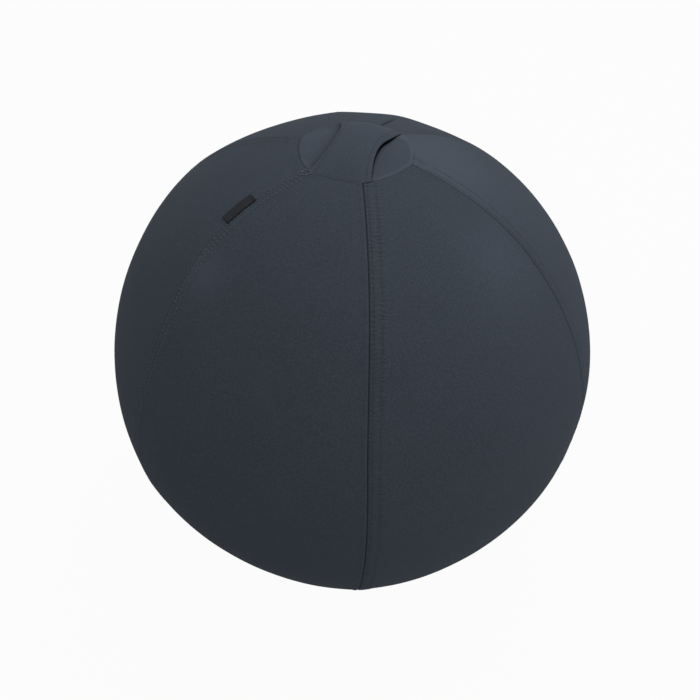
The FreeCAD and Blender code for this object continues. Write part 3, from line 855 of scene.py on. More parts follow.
def sheetPlace(vert):  # degrees down and round, on a fan or a band
    down = math.degrees(math.acos(max(-1.0, min(1.0, vert.co.z))))
    return down, math.degrees(math.atan2(vert.co.x, -vert.co.y))


def shapeSheet(bm, shape):  # shape gives a point, its place on the flat cloth and its marks
    layers = [bm.verts.layers.float[name] for name in sheetMarks]
    cloth = bm.loops.layers.uv.new("cloth")
    bm.verts.index_update()
    flat = []
    for vert in bm.verts:
        point, place, *marks = shape(vert)
        vert.co = point
        for layer, mark in zip(layers, marks):
            vert[layer] = mark
        flat.append(place)
    for face in bm.faces:
        for loop in face.loops:
            loop[cloth].uv = flat[loop.vert.index]


def faceAway(bm, centre):
    bmesh.ops.recalc_face_normals(bm, faces=bm.faces[:])
    bm.normal_update()
    facing = sum(f.normal.dot(f.calc_center_median() - centre) * f.calc_area() for f in bm.faces)
    if facing < 0:
        bmesh.ops.reverse_faces(bm, faces=bm.faces[:])


def addPiece(name, bm, finish, nodes=()):
    for edge in bm.edges:
        edge.smooth = not edge.is_boundary  # a cut edge stays crisp
    mesh = bpy.data.meshes.new(name)
    bm.to_mesh(mesh)
    bm.free()
    mesh.shade_smooth()
    mesh.materials.append(finish)
    piece = bpy.data.objects.new(name, mesh)
    bpy.context.scene.collection.objects.link(piece)
    if nodes:
        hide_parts(*nodes)
    return piece


def thicken(piece, thickness):
    wall = piece.modifiers.new("wall", "SOLIDIFY")
    wall.thickness = thickness
    wall.offset = -1
    return piece


def shapedPiece(bm, shape, name, finish, node):
    shapeSheet(bm, shape)
    faceAway(bm, ballCentre)
    return addPiece(name, bm, finish, [node])


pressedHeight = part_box("gore_front")[1].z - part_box("gore_front")[0].z
pressTravel = next(joint["range_m"][1] for joint in frame["joints"] if joint["name"] == "seat_press")


def sinkWithSeat(piece):  # hung on the ball with a mesh of its own; how far the seat's press goes is reckoned but not used
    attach(piece, "ball")
    1 - pressTravel / pressedHeight
    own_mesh(piece)
    return piece


# the six gores

gore = {
    "mesh": (330, 104, 0.11),  # rows, columns and how evenly the columns lie, closer by the seams
    "foldedMesh": (225, 160, 0.70),  # of the back panel, which has a fold away from its seams
    "thickness": 0.0012,
    "flat": (0.36, 0.78),
    "flatArea": 0.21,
}


def makeGore(index):
    node = panelNames[index]
    rows, columns, evenness = gore["foldedMesh" if node == "gore_back" else "mesh"]
    bm = bandSheet(rows, columns)

    def shape(vert):
        down, turn = sheetPlace(vert)
        share, across = (down - bandTop) / 90, turn / bandTurn
        half = 2 * min(across, 1 - across)
        near = 0.5 * ((1 - evenness) * half**3 + evenness * half)
        place = near if across < 0.5 else 1 - near
        level = between((crownPolar, hemSeamPolar), share)
        sides = seamAzimuth(index, level), seamAzimuth(index + 1, level)
        azimuth = between(sides, place)
        polar = between((rimPolar(index, place), hemPolar(index, place)), share)
        width = ringRadius(polar) * math.radians(sides[1] - sides[0])
        along = arc(polar)
        lift, dark = panelRelief(index, place, polar, azimuth, width)
        out = outward(polar, azimuth)
        pucker = puckered(index, place * width, along) + puckered(index + 1, (place - 1) * width, along)
        # the marks: painted shade, puckering and painted light
        return onBall(out, lift), ((place - 0.5) * width, along), dark, pucker, paintedLightAt(node, out)

    name = node.replace("gore", "panel")
    piece = shapedPiece(bm, shape, name, coverFabric, node)
    thicken(piece, gore["thickness"])
    return sinkWithSeat(piece)


for index in range(len(seams)):
    makeGore(index)
print("panels sewn to the crown and the hem")

# the crown, and the handle's three plies over it, sewn in at its rim front and back

handle = {
    "columns": 44,
    "rows": 120,
    "waistHalf": 0.0284,
    "waistAside": -0.0036,
    "frontReach": 8.0,  # its front corner passes the centre seam by this many degrees
    "plyStep": 0.0013,
    "ply": 0.0011,
    "archSquare": 2.0,  # the arch's fullness
    "edgeRoll": 0.0014,
    "edgeRollStart": 0.86,
    "crossCrown": 0.0048,
    "leftDrop": 0.0034,  # its left edge lies lower than its right one
    "hem": 0.005,  # turned under along both edges
    "hemDip": 0.0004,
    "flat": (0.074, 0.150),
    "flatShare": 0.78,  # of that rectangle, as it is cut in at the waist
    "webbingHalf": 0.019,
    "rearInset": 2.0,  # degrees from the far right seam to its rear corner
    "rearFill": 0.0028,  # its right edge is fuller behind the waist
    # painted light on the handle's cover plies
    "paintedPale": 0.25,
    "footRise": 0.0003,
    "halfLength": 0.07,
    "endDip": (0.00015, 0.0016),  # depth and reach where it is sewn down
    "wrinkle": (0.0004, 0.022, 0.030),  # rise, and length across and along
    "hemWidth": 0.0010,
    "shades": (0.04, 0.06, 0.20, 0.6),  # painted shade at its ends, edges and hems, and over the inner plies
    "endShade": 0.0012,
    "underShare": 0.985,  # width of the lowest ply
}
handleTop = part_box("handle_strap")[1].z


def rimPoint(azimuth):  # from the ball's centre
    index, place = alongRim(azimuth)
    polar = rimPolar(index, place)
    out = outward(polar, azimuth)
    return out * (ball["radius"] + slowLift(out) - panelSag(index, place, polar))


def handleEnds(across):  # the points on the front and back rim that a line along the handle joins
    share = (across + 1) / 2
    left = crownTurns[seamNames.index("left")]
    right = crownTurns[seamNames.index("centre")] + handle["frontReach"]
    back = crownTurns[len(seams)]
    farRight = crownTurns[seamNames.index("farRight")] + handle["rearInset"]
    return rimPoint(left + (right - left) * share), rimPoint(back + (farRight - back) * share)


def handlePlan(across, along, ends):  # a curve through the front rim, the waist and the back rim
    front, rear = ends
    waist = Vector((handle["waistHalf"] * across + handle["waistAside"], 0, 0))
    front, rear = front - waist, rear - waist
    waist.x += handle["rearFill"] * ((1 + across) / 2) ** 2 * hump(along, 0.5, 0.3)
    return waist + (rear - front) * (along / 2) + (rear + front) / 2 * along**2


def handleEdge(across, y, ends):  # where an edge lies at a distance front to back, and how far along
    front, rear = ends
    along = 0.0
    for attempt in range(6):
        along = (2 * y - (front.y + rear.y) * along**2) / (rear.y - front.y)
    along = max(-1.0, min(1.0, along))
    return handlePlan(across, along, ends).x, along


def handlePoint(across, along, drop, half=1.0):
    wide = across * half
    ends = handleEnds(wide)
    plan = handlePlan(wide, along, ends)
    foot = ballCentre.z + ends[0 if along < 0 else 1].z + handle["footRise"]
    height = foot + (handleTop - handle["crossCrown"] - foot) * (1 - abs(along) ** handle["archSquare"])
    curve = handle["crossCrown"] * (1 - wide**2) - handle["leftDrop"] * ((1 - wide) / 2) ** 2
    height += curve * (1 - along**4) - drop
    return Vector((plan.x, plan.y, height))


def makeCrown():
    bm = fanSheet(crownLook["rows"], crownLook["columns"])
    leftEnds, rightEnds = handleEnds(-1), handleEnds(1)

    def underHandle(point, fromRim):  # lift, painted shade and painted light beneath the handle and along its edges
        left, leftAlong = handleEdge(-1, point.y, leftEnds)
        right, rightAlong = handleEdge(1, point.y, rightEnds)
        ends = ease(0.0, 0.006, fromRim)
        leftEdge, rightEdge = crownLook["pocketEdges"]
        inside = ease(*leftEdge, point.x - left) * ease(*rightEdge, right - point.x)
        depth, width = crownLook["leftDip"]
        front, rear = crownLook["dipEnds"]
        gap = max(left - point.x, 0.0)
        beside = max(1 - gap / width, 0.0) ** 1.4
        beside *= ease(1.0, front if leftAlong < 0 else rear, abs(leftAlong))
        sink = max(crownLook["pocket"] * inside, depth * beside * ease(right, left, point.x))
        # painted shade under the handle's right edge and along its left edge
        slit, *slitEdge = crownLook["slitShade"]
        slit *= ease(*slitEdge, right - point.x) * ease(1.0, 0.88, abs(rightAlong))
        dark, reach = crownLook["leftShade"]
        dark *= hump(gap, 0, reach) * ease(1.0, front, abs(leftAlong))
        shade = max(slit * ease(left, right, point.x), dark)
        # painted light on the crown to either side of the handle, most on its right
        leftPaintedPale, rightPaintedPale = crownLook["paintedPale"]
        leftFade, rightFade = crownLook["paintedPaleEdges"]
        paintedPale = leftPaintedPale * ease(0.0, leftFade, left - point.x)
        paintedPale += rightPaintedPale * ease(0.0, rightFade, point.x - right)
        return -sink * ends, shade * ends, paintedPale

    def shape(vert):
        down, azimuth = sheetPlace(vert)
        share = 1 - max(1 - down / 90, 0) ** 1.3  # rows lie closer by the rim
        index, place = alongRim(azimuth)
        edge = rimPolar(index, place)
        polar = share * edge
        fromRim = arc(edge - polar)
        lift, dark = rimRelief(-fromRim, index, place, azimuth)
        out = outward(polar, azimuth)
        sink, shade, paintedPale = underHandle(out * ball["radius"], fromRim)
        lift += slowLift(out) - panelSag(index, place, edge) * (polar / edge) ** 2 + sink
        point = onBall(out, max(lift, -ball["lowest"]))
        return point, (point.x, point.y), min(dark + shade, 0.9), 0.0, paintedPale

    piece = shapedPiece(bm, shape, "crown_panel", coverFabric, "crown_disc")
    thicken(piece, crownLook["thickness"])
    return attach(piece, "crown")


makeCrown()
print("crown set in")


def makePly(name, finish, node, drop, half, roll):
    bm = stripSheet(handle["columns"], handle["rows"])

    def shape(vert):
        across, along = math.sin(vert.co.x * math.pi / 2), vert.co.y
        edge = ease(handle["edgeRollStart"], 1.0, abs(across))
        point = handlePoint(across, along, drop + roll * edge**2 * (1 - along**4), half)
        toEnd = (1 - abs(along)) * handle["halfLength"]
        dip, dipReach = handle["endDip"]
        rise, acrossLength, alongLength = handle["wrinkle"]
        wrinkle = noise.noise(Vector((point.x / acrossLength, point.y / alongLength, drop * 300)))
        fromEdge = (1 - abs(across)) * half * handle["waistHalf"]
        hemLine = hump(fromEdge, handle["hem"], handle["hemWidth"]) if roll else 0.0
        point.z += rise * wrinkle * (1 - along**6)
        point.z -= dip * pinch(toEnd, dipReach) + handle["hemDip"] * hemLine
        # painted shade at the ends, along the rolled edges and hems, and over the hidden inner plies
        ends, edges, hems, inner = handle["shades"]
        dark = ends * hump(toEnd, 0, handle["endShade"]) + edges * edge + hems * hemLine
        dark += 0.0 if roll else inner
        return point, (point.x, point.y), dark, 0.0, handle["paintedPale"]

    shapeSheet(bm, shape)
    faceAway(bm, Vector((0, 0, 0)))
    piece = thicken(addPiece(name, bm, finish, [node]), handle["ply"])
    crest = handlePoint(0, 0, drop).z
    foot = handlePoint(0, 1, drop).z
    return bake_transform(piece, "crown", "handle", start=(0, 0, foot), end=(0, 0, crest))


makePly("handle_top", coverFabric, "handle_strap", 0.0, 1.0, handle["edgeRoll"])
webbingShare = handle["webbingHalf"] / handle["waistHalf"]
makePly("handle_core", strapWebbing, "handle_webbing", handle["plyStep"], webbingShare, 0.0)
underDrop, underShare = 2 * handle["plyStep"], handle["underShare"]
makePly("handle_under", coverFabric, "handle_lining", underDrop, underShare, 0.0)
print("handle sewn across the crown")

# stitches, each a small bead of thread

seamStitch = {"pitch": 0.0035, "length": 0.0026, "width": 0.00075, "height": 0.0007, "proud": 0.0001}
heavyStitch = {"pitch": 0.0052, "length": 0.0035, "width": 0.0015, "height": 0.0011, "proud": 0.0001}
tackStitch = {"pitch": 0.0048, "length": 0.0030, "width": 0.0017, "height": 0.0013, "proud": 0.0006}


def beadRow(count, pitch, stitch):  # a straight row of beads along x, lying on the flat
    bm = bmesh.new()
    size = Matrix.Diagonal((stitch["length"], stitch["width"], stitch["height"], 1))
    turned = size @ Matrix.Rotation(math.pi / 2, 4, "Y")
    bmesh.ops.create_uvsphere(bm, u_segments=6, v_segments=4, radius=0.5, matrix=turned)
    bead = bm.verts[:] + bm.edges[:] + bm.faces[:]
    step = {"dvec": (pitch, 0, 0), "angle": 0, "steps": count - 1}
    bmesh.ops.spin(bm, geom=bead, axis=(0, 0, 1), use_duplicate=True, **step)
    return bm


def sewRow(whole, length, stitch, lay):  # lay gives the point at a distance along the row
    count = round(length / stitch["pitch"])
    pitch = length / count
    bm = beadRow(count, pitch, stitch)
    beds = []
    for number in range(count):
        place = lay(number * pitch)
        out = (place - ballCentre).normalized()
        along = (lay((number + 0.3) * pitch) - place).normalized()
        beds.append((place, along, out.cross(along), out))
    for vert in bm.verts:
        number = round(vert.co.x / pitch)
        place, along, side, out = beds[number]
        ahead, aside, up = vert.co.x - number * pitch, vert.co.y, vert.co.z + stitch["proud"]
        vert.co = place + along * ahead + side * aside + out * up
    bmesh.ops.recalc_face_normals(bm, faces=bm.faces[:])
    row = bpy.data.meshes.new("row")
    bm.to_mesh(row)
    bm.free()
    whole.from_mesh(row)
    bpy.data.meshes.remove(row)


rowStarts = (2.8, 3.6)  # degrees below the crown's rim where the two rows of a seam start
rowEnd = 1.0  # degrees above the hem where they end
hemStitch = 0.0038  # outwards from the hem's edge
baseStitch = 0.1812  # from the middle of the base


def sewSeam(whole, index, side, start, stitch):
    def lay(along):
        polar = start + arcDegrees(along)
        return coverPoint(polar, besideSeam(index, polar, side))

    sewRow(whole, arc(hemSeamPolar - rowEnd - start), stitch, lay)


def sewRing(whole, radius, sphere):  # round the zip, on the hem or on the base
    def lay(along):
        azimuth = math.degrees(along / radius)
        polar = 180 - math.degrees(math.asin(radius / sphere))
        if sphere == baseRadius:
            return ballCentre + outward(polar, azimuth) * sphere
        return coverPoint(polar, azimuth)

    sewRow(whole, 2 * math.pi * radius, seamStitch, lay)


for index, seam in enumerate(seams):
    rows = bmesh.new()
    bold = seam["name"] == "left"
    for side, start in zip(seam["rows"], rowStarts):
        sewSeam(rows, index, side, crownPolar + start, heavyStitch if bold else seamStitch)
    thread = topThread if bold else seamThread
    sinkWithSeat(addPiece("stitches_" + seam["name"], rows, thread))
rows = bmesh.new()
sewRing(rows, ball["hemRadius"] + hemStitch, ball["radius"])
sinkWithSeat(addPiece("stitches_hem", rows, seamThread))
rows = bmesh.new()
sewRing(rows, baseStitch, baseRadius)
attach(addPiece("stitches_base", rows, seamThread), "ball")

tack = {"radius": 0.0046, "below": 0.0038, "aside": 0.0026}


def makeTack():  # a ring of stitches where the handle's corner meets the left seam
    index = seamNames.index("left")
    middle = rimPolar(index, 0) + arcDegrees(tack["below"])

    def lay(along):
        turn = along / tack["radius"]
        polar = middle + arcDegrees(tack["radius"] * math.cos(turn))
        side = tack["aside"] + tack["radius"] * math.sin(turn)
        return coverPoint(polar, besideSeam(index, polar, side))

    rows = bmesh.new()
    sewRow(rows, 2 * math.pi * tack["radius"], tackStitch, lay)
    return sinkWithSeat(addPiece("stitches_tack", rows, tackThread))


makeTack()
print("stitch rows sewn")

# the side label, a folded woven tab caught in the left seam

label = {
    "columns": 14,
    "rows": 40,
    "polar": (25.21, 32.44),
    "side": (0.0014, -0.0126),
    "proud": (0.0001, 0.0003),
    "bow": 0.0006,
    "uneven": 0.0002,
    "endFold": 0.0003,
    "endFrom": (0.86, 0.90),
    "endLine": (0.87, 0.02),  # place and width of the painted shade along the crease by each end
    "endDark": (0.93, 1.0),
    "seamDark": 0.16,
    "shades": (0.5, 0.7, 0.6),  # strength of the painted shade along that crease, at the ends and on the side at the seam
    "thickness": 0.0009,
    "flat": (0.014, 0.041),
}


def makeLabel():
    bm = stripSheet(label["columns"], label["rows"])
    index = seamNames.index("left")

    def shape(vert):
        across, along = (vert.co.x + 1) / 2, (vert.co.y + 1) / 2
        toEnd = abs(vert.co.y)
        polar = between(label["polar"], along)
        azimuth = besideSeam(index, polar, between(label["side"], across))
        out = outward(polar, azimuth)
        panel, place = acrossPanel(polar, azimuth)
        lift = slowLift(out) - panelSag(panel, place, polar) + between(label["proud"], across)
        lift += label["bow"] * across**2 * math.sin(math.pi * along)
        lift += label["uneven"] * noise.noise(Vector((along * 5, across, 4)))
        lift += label["endFold"] * ease(*label["endFrom"], toEnd) + label["thickness"]
        paintedShade, end, seamSide = label["shades"]
        dark = paintedShade * hump(toEnd, *label["endLine"]) + end * ease(*label["endDark"], toEnd)
        dark += seamSide * ease(label["seamDark"], 0.0, across) * (1 - dark)
        return onBall(out, lift), (across * label["flat"][0], along * label["flat"][1]), dark

    piece = shapedPiece(bm, shape, "label_tab", labelWeave, "side_label")
    thicken(piece, label["thickness"])
    return sinkWithSeat(piece)


makeLabel()
print("label set in the left seam")

# binding tapes behind the seams

binding = {
    "columns": 8,
    "rows": 150,
    "half": 0.013,
    "ends": (1.5, 1.0),  # degrees short of the crown's rim and of the hem
    "behind": 0.0055,
    "thickness": 0.0005,
    "flat": (0.156, 0.745),
}


def makeSeamTapes():
    bm = bmesh.new()
    markSheet(bm)
    apart = 4  # between the flat strips, before they are laid along the seams
    for index in range(len(seams)):
        bmesh.ops.create_grid(
            bm,
            x_segments=binding["columns"],
            y_segments=binding["rows"],
            size=1,
            matrix=Matrix.Translation((apart * index, 0, 0)),
        )
    ends = crownPolar + binding["ends"][0], hemSeamPolar - binding["ends"][1]

    def shape(vert):
        index = round(vert.co.x / apart)
        side = (vert.co.x - apart * index) * binding["half"]
        polar = between(ends, (vert.co.y + 1) / 2)
        out = outward(polar, besideSeam(index, polar, side))
        return onBall(out, -binding["behind"]), (side, arc(polar)), 0.0

    piece = shapedPiece(bm, shape, "seam_bindings", seamBinding, "seam_tapes")
    thicken(piece, binding["thickness"])
    return sinkWithSeat(piece)


crownTape = {"rows": 12, "columns": 160, "radii": (0.060, 0.080), "flat": (0.021, 0.44)}


def makeCrownTape():
    bm = fanSheet(crownTape["rows"], crownTape["columns"])
    ends = [math.degrees(math.asin(one / ball["radius"])) for one in crownTape["radii"]]
    middle = [vert for vert in bm.verts if sheetPlace(vert)[0] < 1]
    bmesh.ops.delete(bm, geom=middle, context="VERTS")
    step = 90 / crownTape["rows"]

    def shape(vert):
        down, azimuth = sheetPlace(vert)
        polar = between(ends, (down - step) / (90 - step))
        run = ball["crownRadius"] * math.radians(azimuth)
        return onBall(outward(polar, azimuth), -binding["behind"]), (arc(polar), run), 0.0

    piece = shapedPiece(bm, shape, "crown_binding", seamBinding, "crown_seam_tape")
    thicken(piece, binding["thickness"])
    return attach(piece, "crown")


makeSeamTapes()
makeCrownTape()
print("bindings laid behind the seams")

# the base: a round panel underneath with a tongue across the back

base = {
    "rows": 84,
    "columns": 240,
    "rim": 0.18555,
    "tongueReach": 0.1941,
    "tongueHalf": 29.0,
    "edgeDip": 0.0012,
    "edgeDark": 0.4,
    "edgeReach": 0.0016,
    "rowDip": (0.0004, 0.0011),  # depth and width along the stitches
    "rowDark": (0.2, 0.0010),
    "uneven": (0.0005, 0.05),  # rise and length
    "unevenFrom": (0.075, 0.11),
    "thickness": 0.0012,
    "flat": (0.42, 0.42),
    "flatArea": 0.128,
}


def makeBase():
    bm = fanSheet(base["rows"], base["columns"])
    reach = base["tongueReach"]

    def across(vert):
        return sheetPlace(vert)[0] / 90 * reach

    spare = []
    for face in bm.faces:
        middle = face.calc_center_median()
        azimuth = math.degrees(math.atan2(middle.x, -middle.y))
        far = min(across(vert) for vert in face.verts)
        if far > base["rim"] - 0.0005 and 180 - abs(azimuth) > base["tongueHalf"]:
            spare.append(face)
    bmesh.ops.delete(bm, geom=spare, context="FACES")

    def shape(vert):
        azimuth = sheetPlace(vert)[1]
        onTongue = 180 - abs(azimuth) < base["tongueHalf"] + 0.3
        end = reach if onTongue else base["rim"]
        radius = min(across(vert), end)
        spot = outward(90, azimuth) * radius
        if radius < ball["contactRadius"]:
            return (spot.x, spot.y, 0.0), (spot.x, spot.y), 0.0
        edge = end - radius
        dip, dipWidth = base["rowDip"]
        shade, shadeWidth = base["rowDark"]
        rise, length = base["uneven"]
        lift = base["edgeDip"] * pinch(edge, base["edgeReach"]) + dip * hump(radius, baseStitch, dipWidth)
        lift += rise * abs(noise.noise(spot / length)) * ease(*base["unevenFrom"], radius)
        # painted shade along the base's edge and its row of stitches
        dark = base["edgeDark"] * hump(edge, 0, base["edgeReach"])
        dark += shade * hump(radius, baseStitch, shadeWidth)
        height = ballCentre.z - math.sqrt(baseRadius**2 - radius**2) + lift
        return (spot.x, spot.y, height), (spot.x, spot.y), dark

    piece = shapedPiece(bm, shape, "base_panel", baseCloth, "base_disc")
    thicken(piece, base["thickness"])
    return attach(piece, "ball")


makeBase()
print("base laid")

# the zip between the hem and the base

zipRun = {
    "radius": 0.190,
    "start": 120.0,
    "turn": 300.0,
    "tapeFrom": 0.0009,
    "tapeTo": 0.0130,
    "tapeFace": -0.00216,
    "tapeThickness": 0.0008,
    "tapeMesh": (12, 400),
    "tapeFlat": (0.013, 1.0),
    "ribs": 6,
    "ribRise": 0.00012,
    "toothPitch": 0.0015,
    "toothLength": 0.0024,
    "toothWidth": 0.0009,
    "toothHeight": 0.0018,
    "toothMiddle": 0.0018,
    "toothFace": -0.00116,
    "toothBevel": 0.00022,
    "endGap": 2,  # teeth left out at each end
}
zipHeight = ballCentre.z - math.sqrt(baseRadius**2 - zipRun["radius"] ** 2)
zipSlope = math.asin(zipRun["radius"] / baseRadius)


def zipPoint(turn, across, proud):  # across runs up the slope, proud runs outwards
    reach = zipRun["radius"] + across * math.cos(zipSlope) + proud * math.sin(zipSlope)
    height = zipHeight + across * math.sin(zipSlope) - proud * math.cos(zipSlope)
    return Vector((reach * math.cos(math.radians(turn)), reach * math.sin(math.radians(turn)), height))


def makeZipTape(name, node, way):
    bm = stripSheet(*zipRun["tapeMesh"])

    def shape(vert):
        share, along = (vert.co.x + 1) / 2, (vert.co.y + 1) / 2
        across = between((zipRun["tapeFrom"], zipRun["tapeTo"]), share)
        turn = zipRun["start"] + along * zipRun["turn"]
        rib = zipRun["ribRise"] * math.cos(share * 2 * zipRun["ribs"] * math.pi)
        run = zipRun["radius"] * math.radians(along * zipRun["turn"])
        return zipPoint(turn, way * across, zipRun["tapeFace"] + rib), (across, run), 0.0

    piece = shapedPiece(bm, shape, name, zipTape, node)
    thicken(piece, zipRun["tapeThickness"])
    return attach(piece, "ball")


def makeChain(name, node, way, offset):
    bm = bmesh.new()
    bmesh.ops.create_cube(bm, size=1)
    size = (zipRun["toothLength"], zipRun["toothWidth"], zipRun["toothHeight"])
    bmesh.ops.scale(bm, vec=size, verts=bm.verts[:])
    bmesh.ops.bevel(
        bm,
        geom=bm.edges[:],
        offset=zipRun["toothBevel"],
        offset_type="OFFSET",
        segments=1,
        profile=0.5,
        affect="EDGES",
        material=-1,
    )
    step = math.degrees(zipRun["toothPitch"] / zipRun["radius"])
    turn = zipRun["start"] + (zipRun["endGap"] + offset) * step
    up = (zipPoint(turn, 0.01, 0) - zipPoint(turn, 0, 0)).normalized()
    out = (zipPoint(turn, 0, 0.01) - zipPoint(turn, 0, 0)).normalized()
    matrix = Matrix((up, out.cross(up), out)).transposed().to_4x4()
    matrix.translation = zipPoint(turn, way * zipRun["toothMiddle"], zipRun["toothFace"])
    bmesh.ops.transform(bm, matrix=matrix, verts=bm.verts[:])
    count = int(zipRun["turn"] / step) - 2 * zipRun["endGap"]
    tooth = bm.verts[:] + bm.edges[:] + bm.faces[:]
    sweep = math.radians(step * (count - 1))
    bmesh.ops.spin(bm, geom=tooth, axis=(0, 0, 1), angle=sweep, steps=count - 1, use_duplicate=True)
    bmesh.ops.recalc_face_normals(bm, faces=bm.faces[:])
    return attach(addPiece(name, bm, zipCoil, [node]), "ball")


makeZipTape("tape_lower", "zip_tape_lower", -1)
makeZipTape("tape_upper", "zip_tape_upper", 1)
makeChain("teeth_lower", "zip_chain_lower", -1, 0.0)
makeChain("teeth_upper", "zip_chain_upper", 1, 0.5)
print("zip set in")

# what the cover hides: the bladder with its port, and the ballast

bladder = {
    "radius": 0.3185,
    "rows": 120,
    "columns": 144,
    "section": 45.0,  # degrees from weld to weld
    "weld": (0.0010, 0.05),  # depth, and width as a share of half a section
    "underCrown": 0.0022,  # room for the crown as the seat sinks
    "crownRoom": (25, 16),
    "behindZip": 0.0030,  # and for the zip's slider
    "zipRoom": 5,
    "port": 0.0161,
    "wall": 0.0012,
}


def makeBladder():
    bm = fanSheet(bladder["rows"], bladder["columns"])
    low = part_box("bladder")[0].z
    port = (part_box("valve_collar")[0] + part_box("valve_collar")[1]) / 2 - ballCentre

    def shape(vert):
        down, azimuth = sheetPlace(vert)
        polar = 2 * down  # the fan closes underneath
        depth, width = bladder["weld"]
        across = abs(((azimuth / bladder["section"]) % 1) - 0.5) * 2
        inset = depth * hump(across, 1, width) * math.sin(math.radians(polar))
        inset += bladder["underCrown"] * ease(*bladder["crownRoom"], polar)
        inset += bladder["behindZip"] * hump(polar, 180 - math.degrees(zipSlope), bladder["zipRoom"])
        point = ballCentre + outward(polar, azimuth) * (bladder["radius"] - inset)
        point.z = max(point.z, low)
        return point, (azimuth, down), 0.0

    shapeSheet(bm, shape)
    hole = []
    for face in bm.faces:
        aside = face.calc_center_median() - ballCentre
        if aside.dot(port) > 0 and aside.cross(port.normalized()).length < bladder["port"]:
            hole.append(face)
    bmesh.ops.delete(bm, geom=hole, context="FACES")
    faceAway(bm, ballCentre)
    piece = addPiece("air_bladder", bm, bladderVinyl, ["bladder"])
    return sinkWithSeat(thicken(piece, bladder["wall"]))


ballast = {
    "rows": 70,
    "columns": 160,
    "topShare": 0.62,  # of the rows, the others go round its bottom
    "topFall": 0.004,
    "rimBelow": 0.006,
    "inset": 0.985,
    "heap": 0.0012,
}


def makeBallast():
    bm = fanSheet(ballast["rows"], ballast["columns"])
    low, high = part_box("ballast")

    def shape(vert):
        down, azimuth = sheetPlace(vert)
        share, topShare = down / 90, ballast["topShare"]
        if share < topShare:
            reach = math.sin(share / topShare * math.pi / 2) ** 0.8
            height = high.z - ballast["topFall"] * reach**4 - ballast["heap"]
            rough = 0.6
        else:
            reach = 1 - ((share - topShare) / (1 - topShare)) ** 2
            height = low.z + (high.z - low.z - ballast["rimBelow"]) * reach**4
            rough = 0.2
        point = outward(90, azimuth) * max(high.x * reach, 0) * ballast["inset"]
        point.z = height
        point.z += ballast["heap"] * noise.noise(point / grainLook["size"] / 2) * rough
        return point, (azimuth, down), 0.0

    shapeSheet(bm, shape)
    bmesh.ops.remove_doubles(bm, verts=bm.verts[:], dist=1e-5)
    faceAway(bm, (low + high) / 2)
    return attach(addPiece("ballast_heap", bm, ballastGrain, ["ballast"]), "ball")


makeBladder()
makeBallast()
print("bladder and ballast inside")

# turned, cast and moulded parts keep their shape and get a finish

metalNodes = ["zip_slider", "slider_bridge", "pull_pin", "zip_pull", "zip_stop_start", "zip_stop_end"]
plasticNodes = ["valve_collar", "valve_plug"]
for name in metalNodes + plasticNodes:
    mesh = frame["nodes"][name].data
    mesh.materials.clear()
    mesh.materials.append(zipMetal if name in metalNodes else valvePlastic)
print("metal and plastic finished")

# floor, light and camera

studio = {
    "floorHalf": 8.0,
    "floorDrop": 0.0005,
    "floorColour": (0.38, 0.38, 0.38),
    "floorWhite": 0.96,  # share of plain white that the floor shows to the camera
    "skyStrength": 0.76,
}
softLights = [
    {"name": "sideLight", "place": (2.94, 0.0, 0.84), "size": 2.5, "power": 24.6},
    {"name": "rearLight", "place": (0.0, 1.50, 2.91), "size": 2.2, "power": 42.2},
]


def seenPlainly(wire):  # 1 where the camera, a mirror or glass looks at it
    path = wire.node("LightPath", {}, {}, ("Is Camera Ray", "Is Glossy Ray", "Is Transmission Ray"))
    return path[0].math("MAXIMUM", path[0], path[1].math("MAXIMUM", path[1], path[2]))


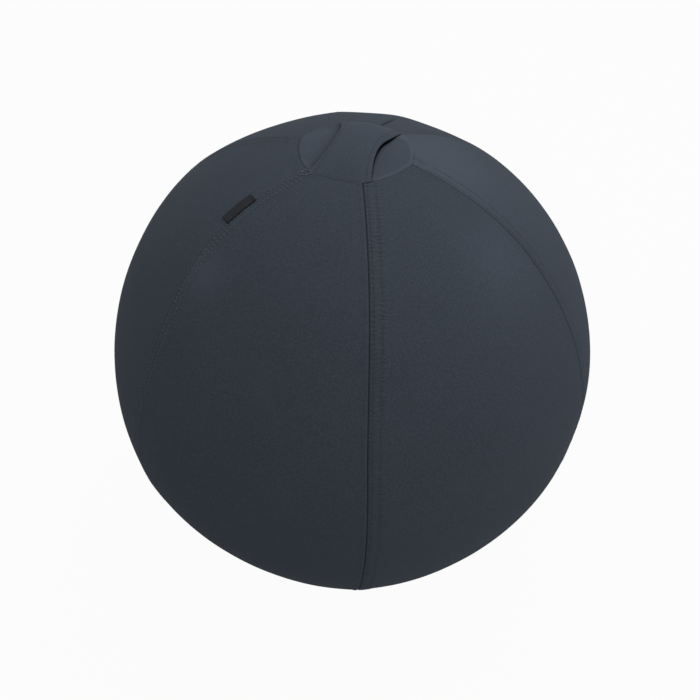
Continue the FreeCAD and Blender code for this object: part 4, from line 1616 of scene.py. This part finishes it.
def makeFloor():
    finish, wire = newFinish("paleFloor")
    matt = wire.node("BsdfDiffuse", {}, {"Color": opaque(studio["floorColour"])})
    white = wire.node("Emission", {}, {"Color": (1, 1, 1, 1), "Strength": 1.0})
    share = seenPlainly(wire) * studio["floorWhite"]
    shown = wire.node("MixShader", {}, {0: share, 1: matt, 2: white})
    clear = wire.node("BsdfTransparent")
    fromBelow = wire.node("NewGeometry", {}, {}, "Backfacing")
    surface = wire.node("MixShader", {}, {0: fromBelow, 1: shown, 2: clear})
    wire.node("OutputMaterial", {}, {"Surface": surface})
    bm = bmesh.new()
    bmesh.ops.create_grid(bm, x_segments=1, y_segments=1, size=studio["floorHalf"])
    bmesh.ops.translate(bm, vec=(0, 0, -studio["floorDrop"]), verts=bm.verts[:])
    mesh = bpy.data.meshes.new("floor")
    bm.to_mesh(mesh)
    bm.free()
    mesh.materials.append(finish)
    floor = bpy.data.objects.new("floor", mesh)
    bpy.context.scene.collection.objects.link(floor)


def makeSky():
    sky = bpy.data.worlds.new("sky")
    bpy.context.scene.world = sky
    sky.use_nodes = True
    sky.node_tree.nodes.clear()
    wire = Wire(sky.node_tree)
    light = wire.node("Background", {}, {"Color": (1, 1, 1, 1), "Strength": studio["skyStrength"]})
    white = wire.node("Background", {}, {"Color": (1, 1, 1, 1), "Strength": 1.0})
    surface = wire.node("MixShader", {}, {0: seenPlainly(wire), 1: light, 2: white})
    wire.node("OutputWorld", {}, {"Surface": surface})


def addSoftLight(name, place, size, power):
    lamp = bpy.data.lights.new(name, "AREA")
    lamp.shape = "DISK"
    lamp.size = size
    lamp.energy = power
    holder = bpy.data.objects.new(name, lamp)
    holder.location = place
    holder.rotation_euler = (ballCentre - Vector(place)).to_track_quat("-Z", "Y").to_euler()
    bpy.context.scene.collection.objects.link(holder)


camera = {
    "distance": 1.277,
    "azimuth": 24.6,
    "elevation": 42.7,
    "roll": 2.46,
    "lens": 46.93,
    "sensor": 36.0,
    "shift": (-0.0021, 0.0),
}


def makeCamera():
    back = outward(90 - camera["elevation"], camera["azimuth"])
    level = Vector((0, 0, 1)).cross(back).normalized()
    roll = math.radians(camera["roll"])
    right = level * math.cos(roll) + back.cross(level) * math.sin(roll)
    lens = bpy.data.cameras.new("camera")
    lens.lens = camera["lens"]
    lens.sensor_width = camera["sensor"]
    lens.shift_x, lens.shift_y = camera["shift"]
    holder = bpy.data.objects.new("camera", lens)
    holder.location = ballCentre + back * camera["distance"]
    holder.rotation_euler = Matrix((right, back.cross(right), back)).transposed().to_euler()
    bpy.context.scene.collection.objects.link(holder)
    bpy.context.scene.camera = holder


makeFloor()
makeSky()
for light in softLights:
    addSoftLight(**light)
makeCamera()
bpy.context.scene.view_settings.view_transform = "Standard"
print("floor, light and camera placed")

bpy.context.view_layer.update()
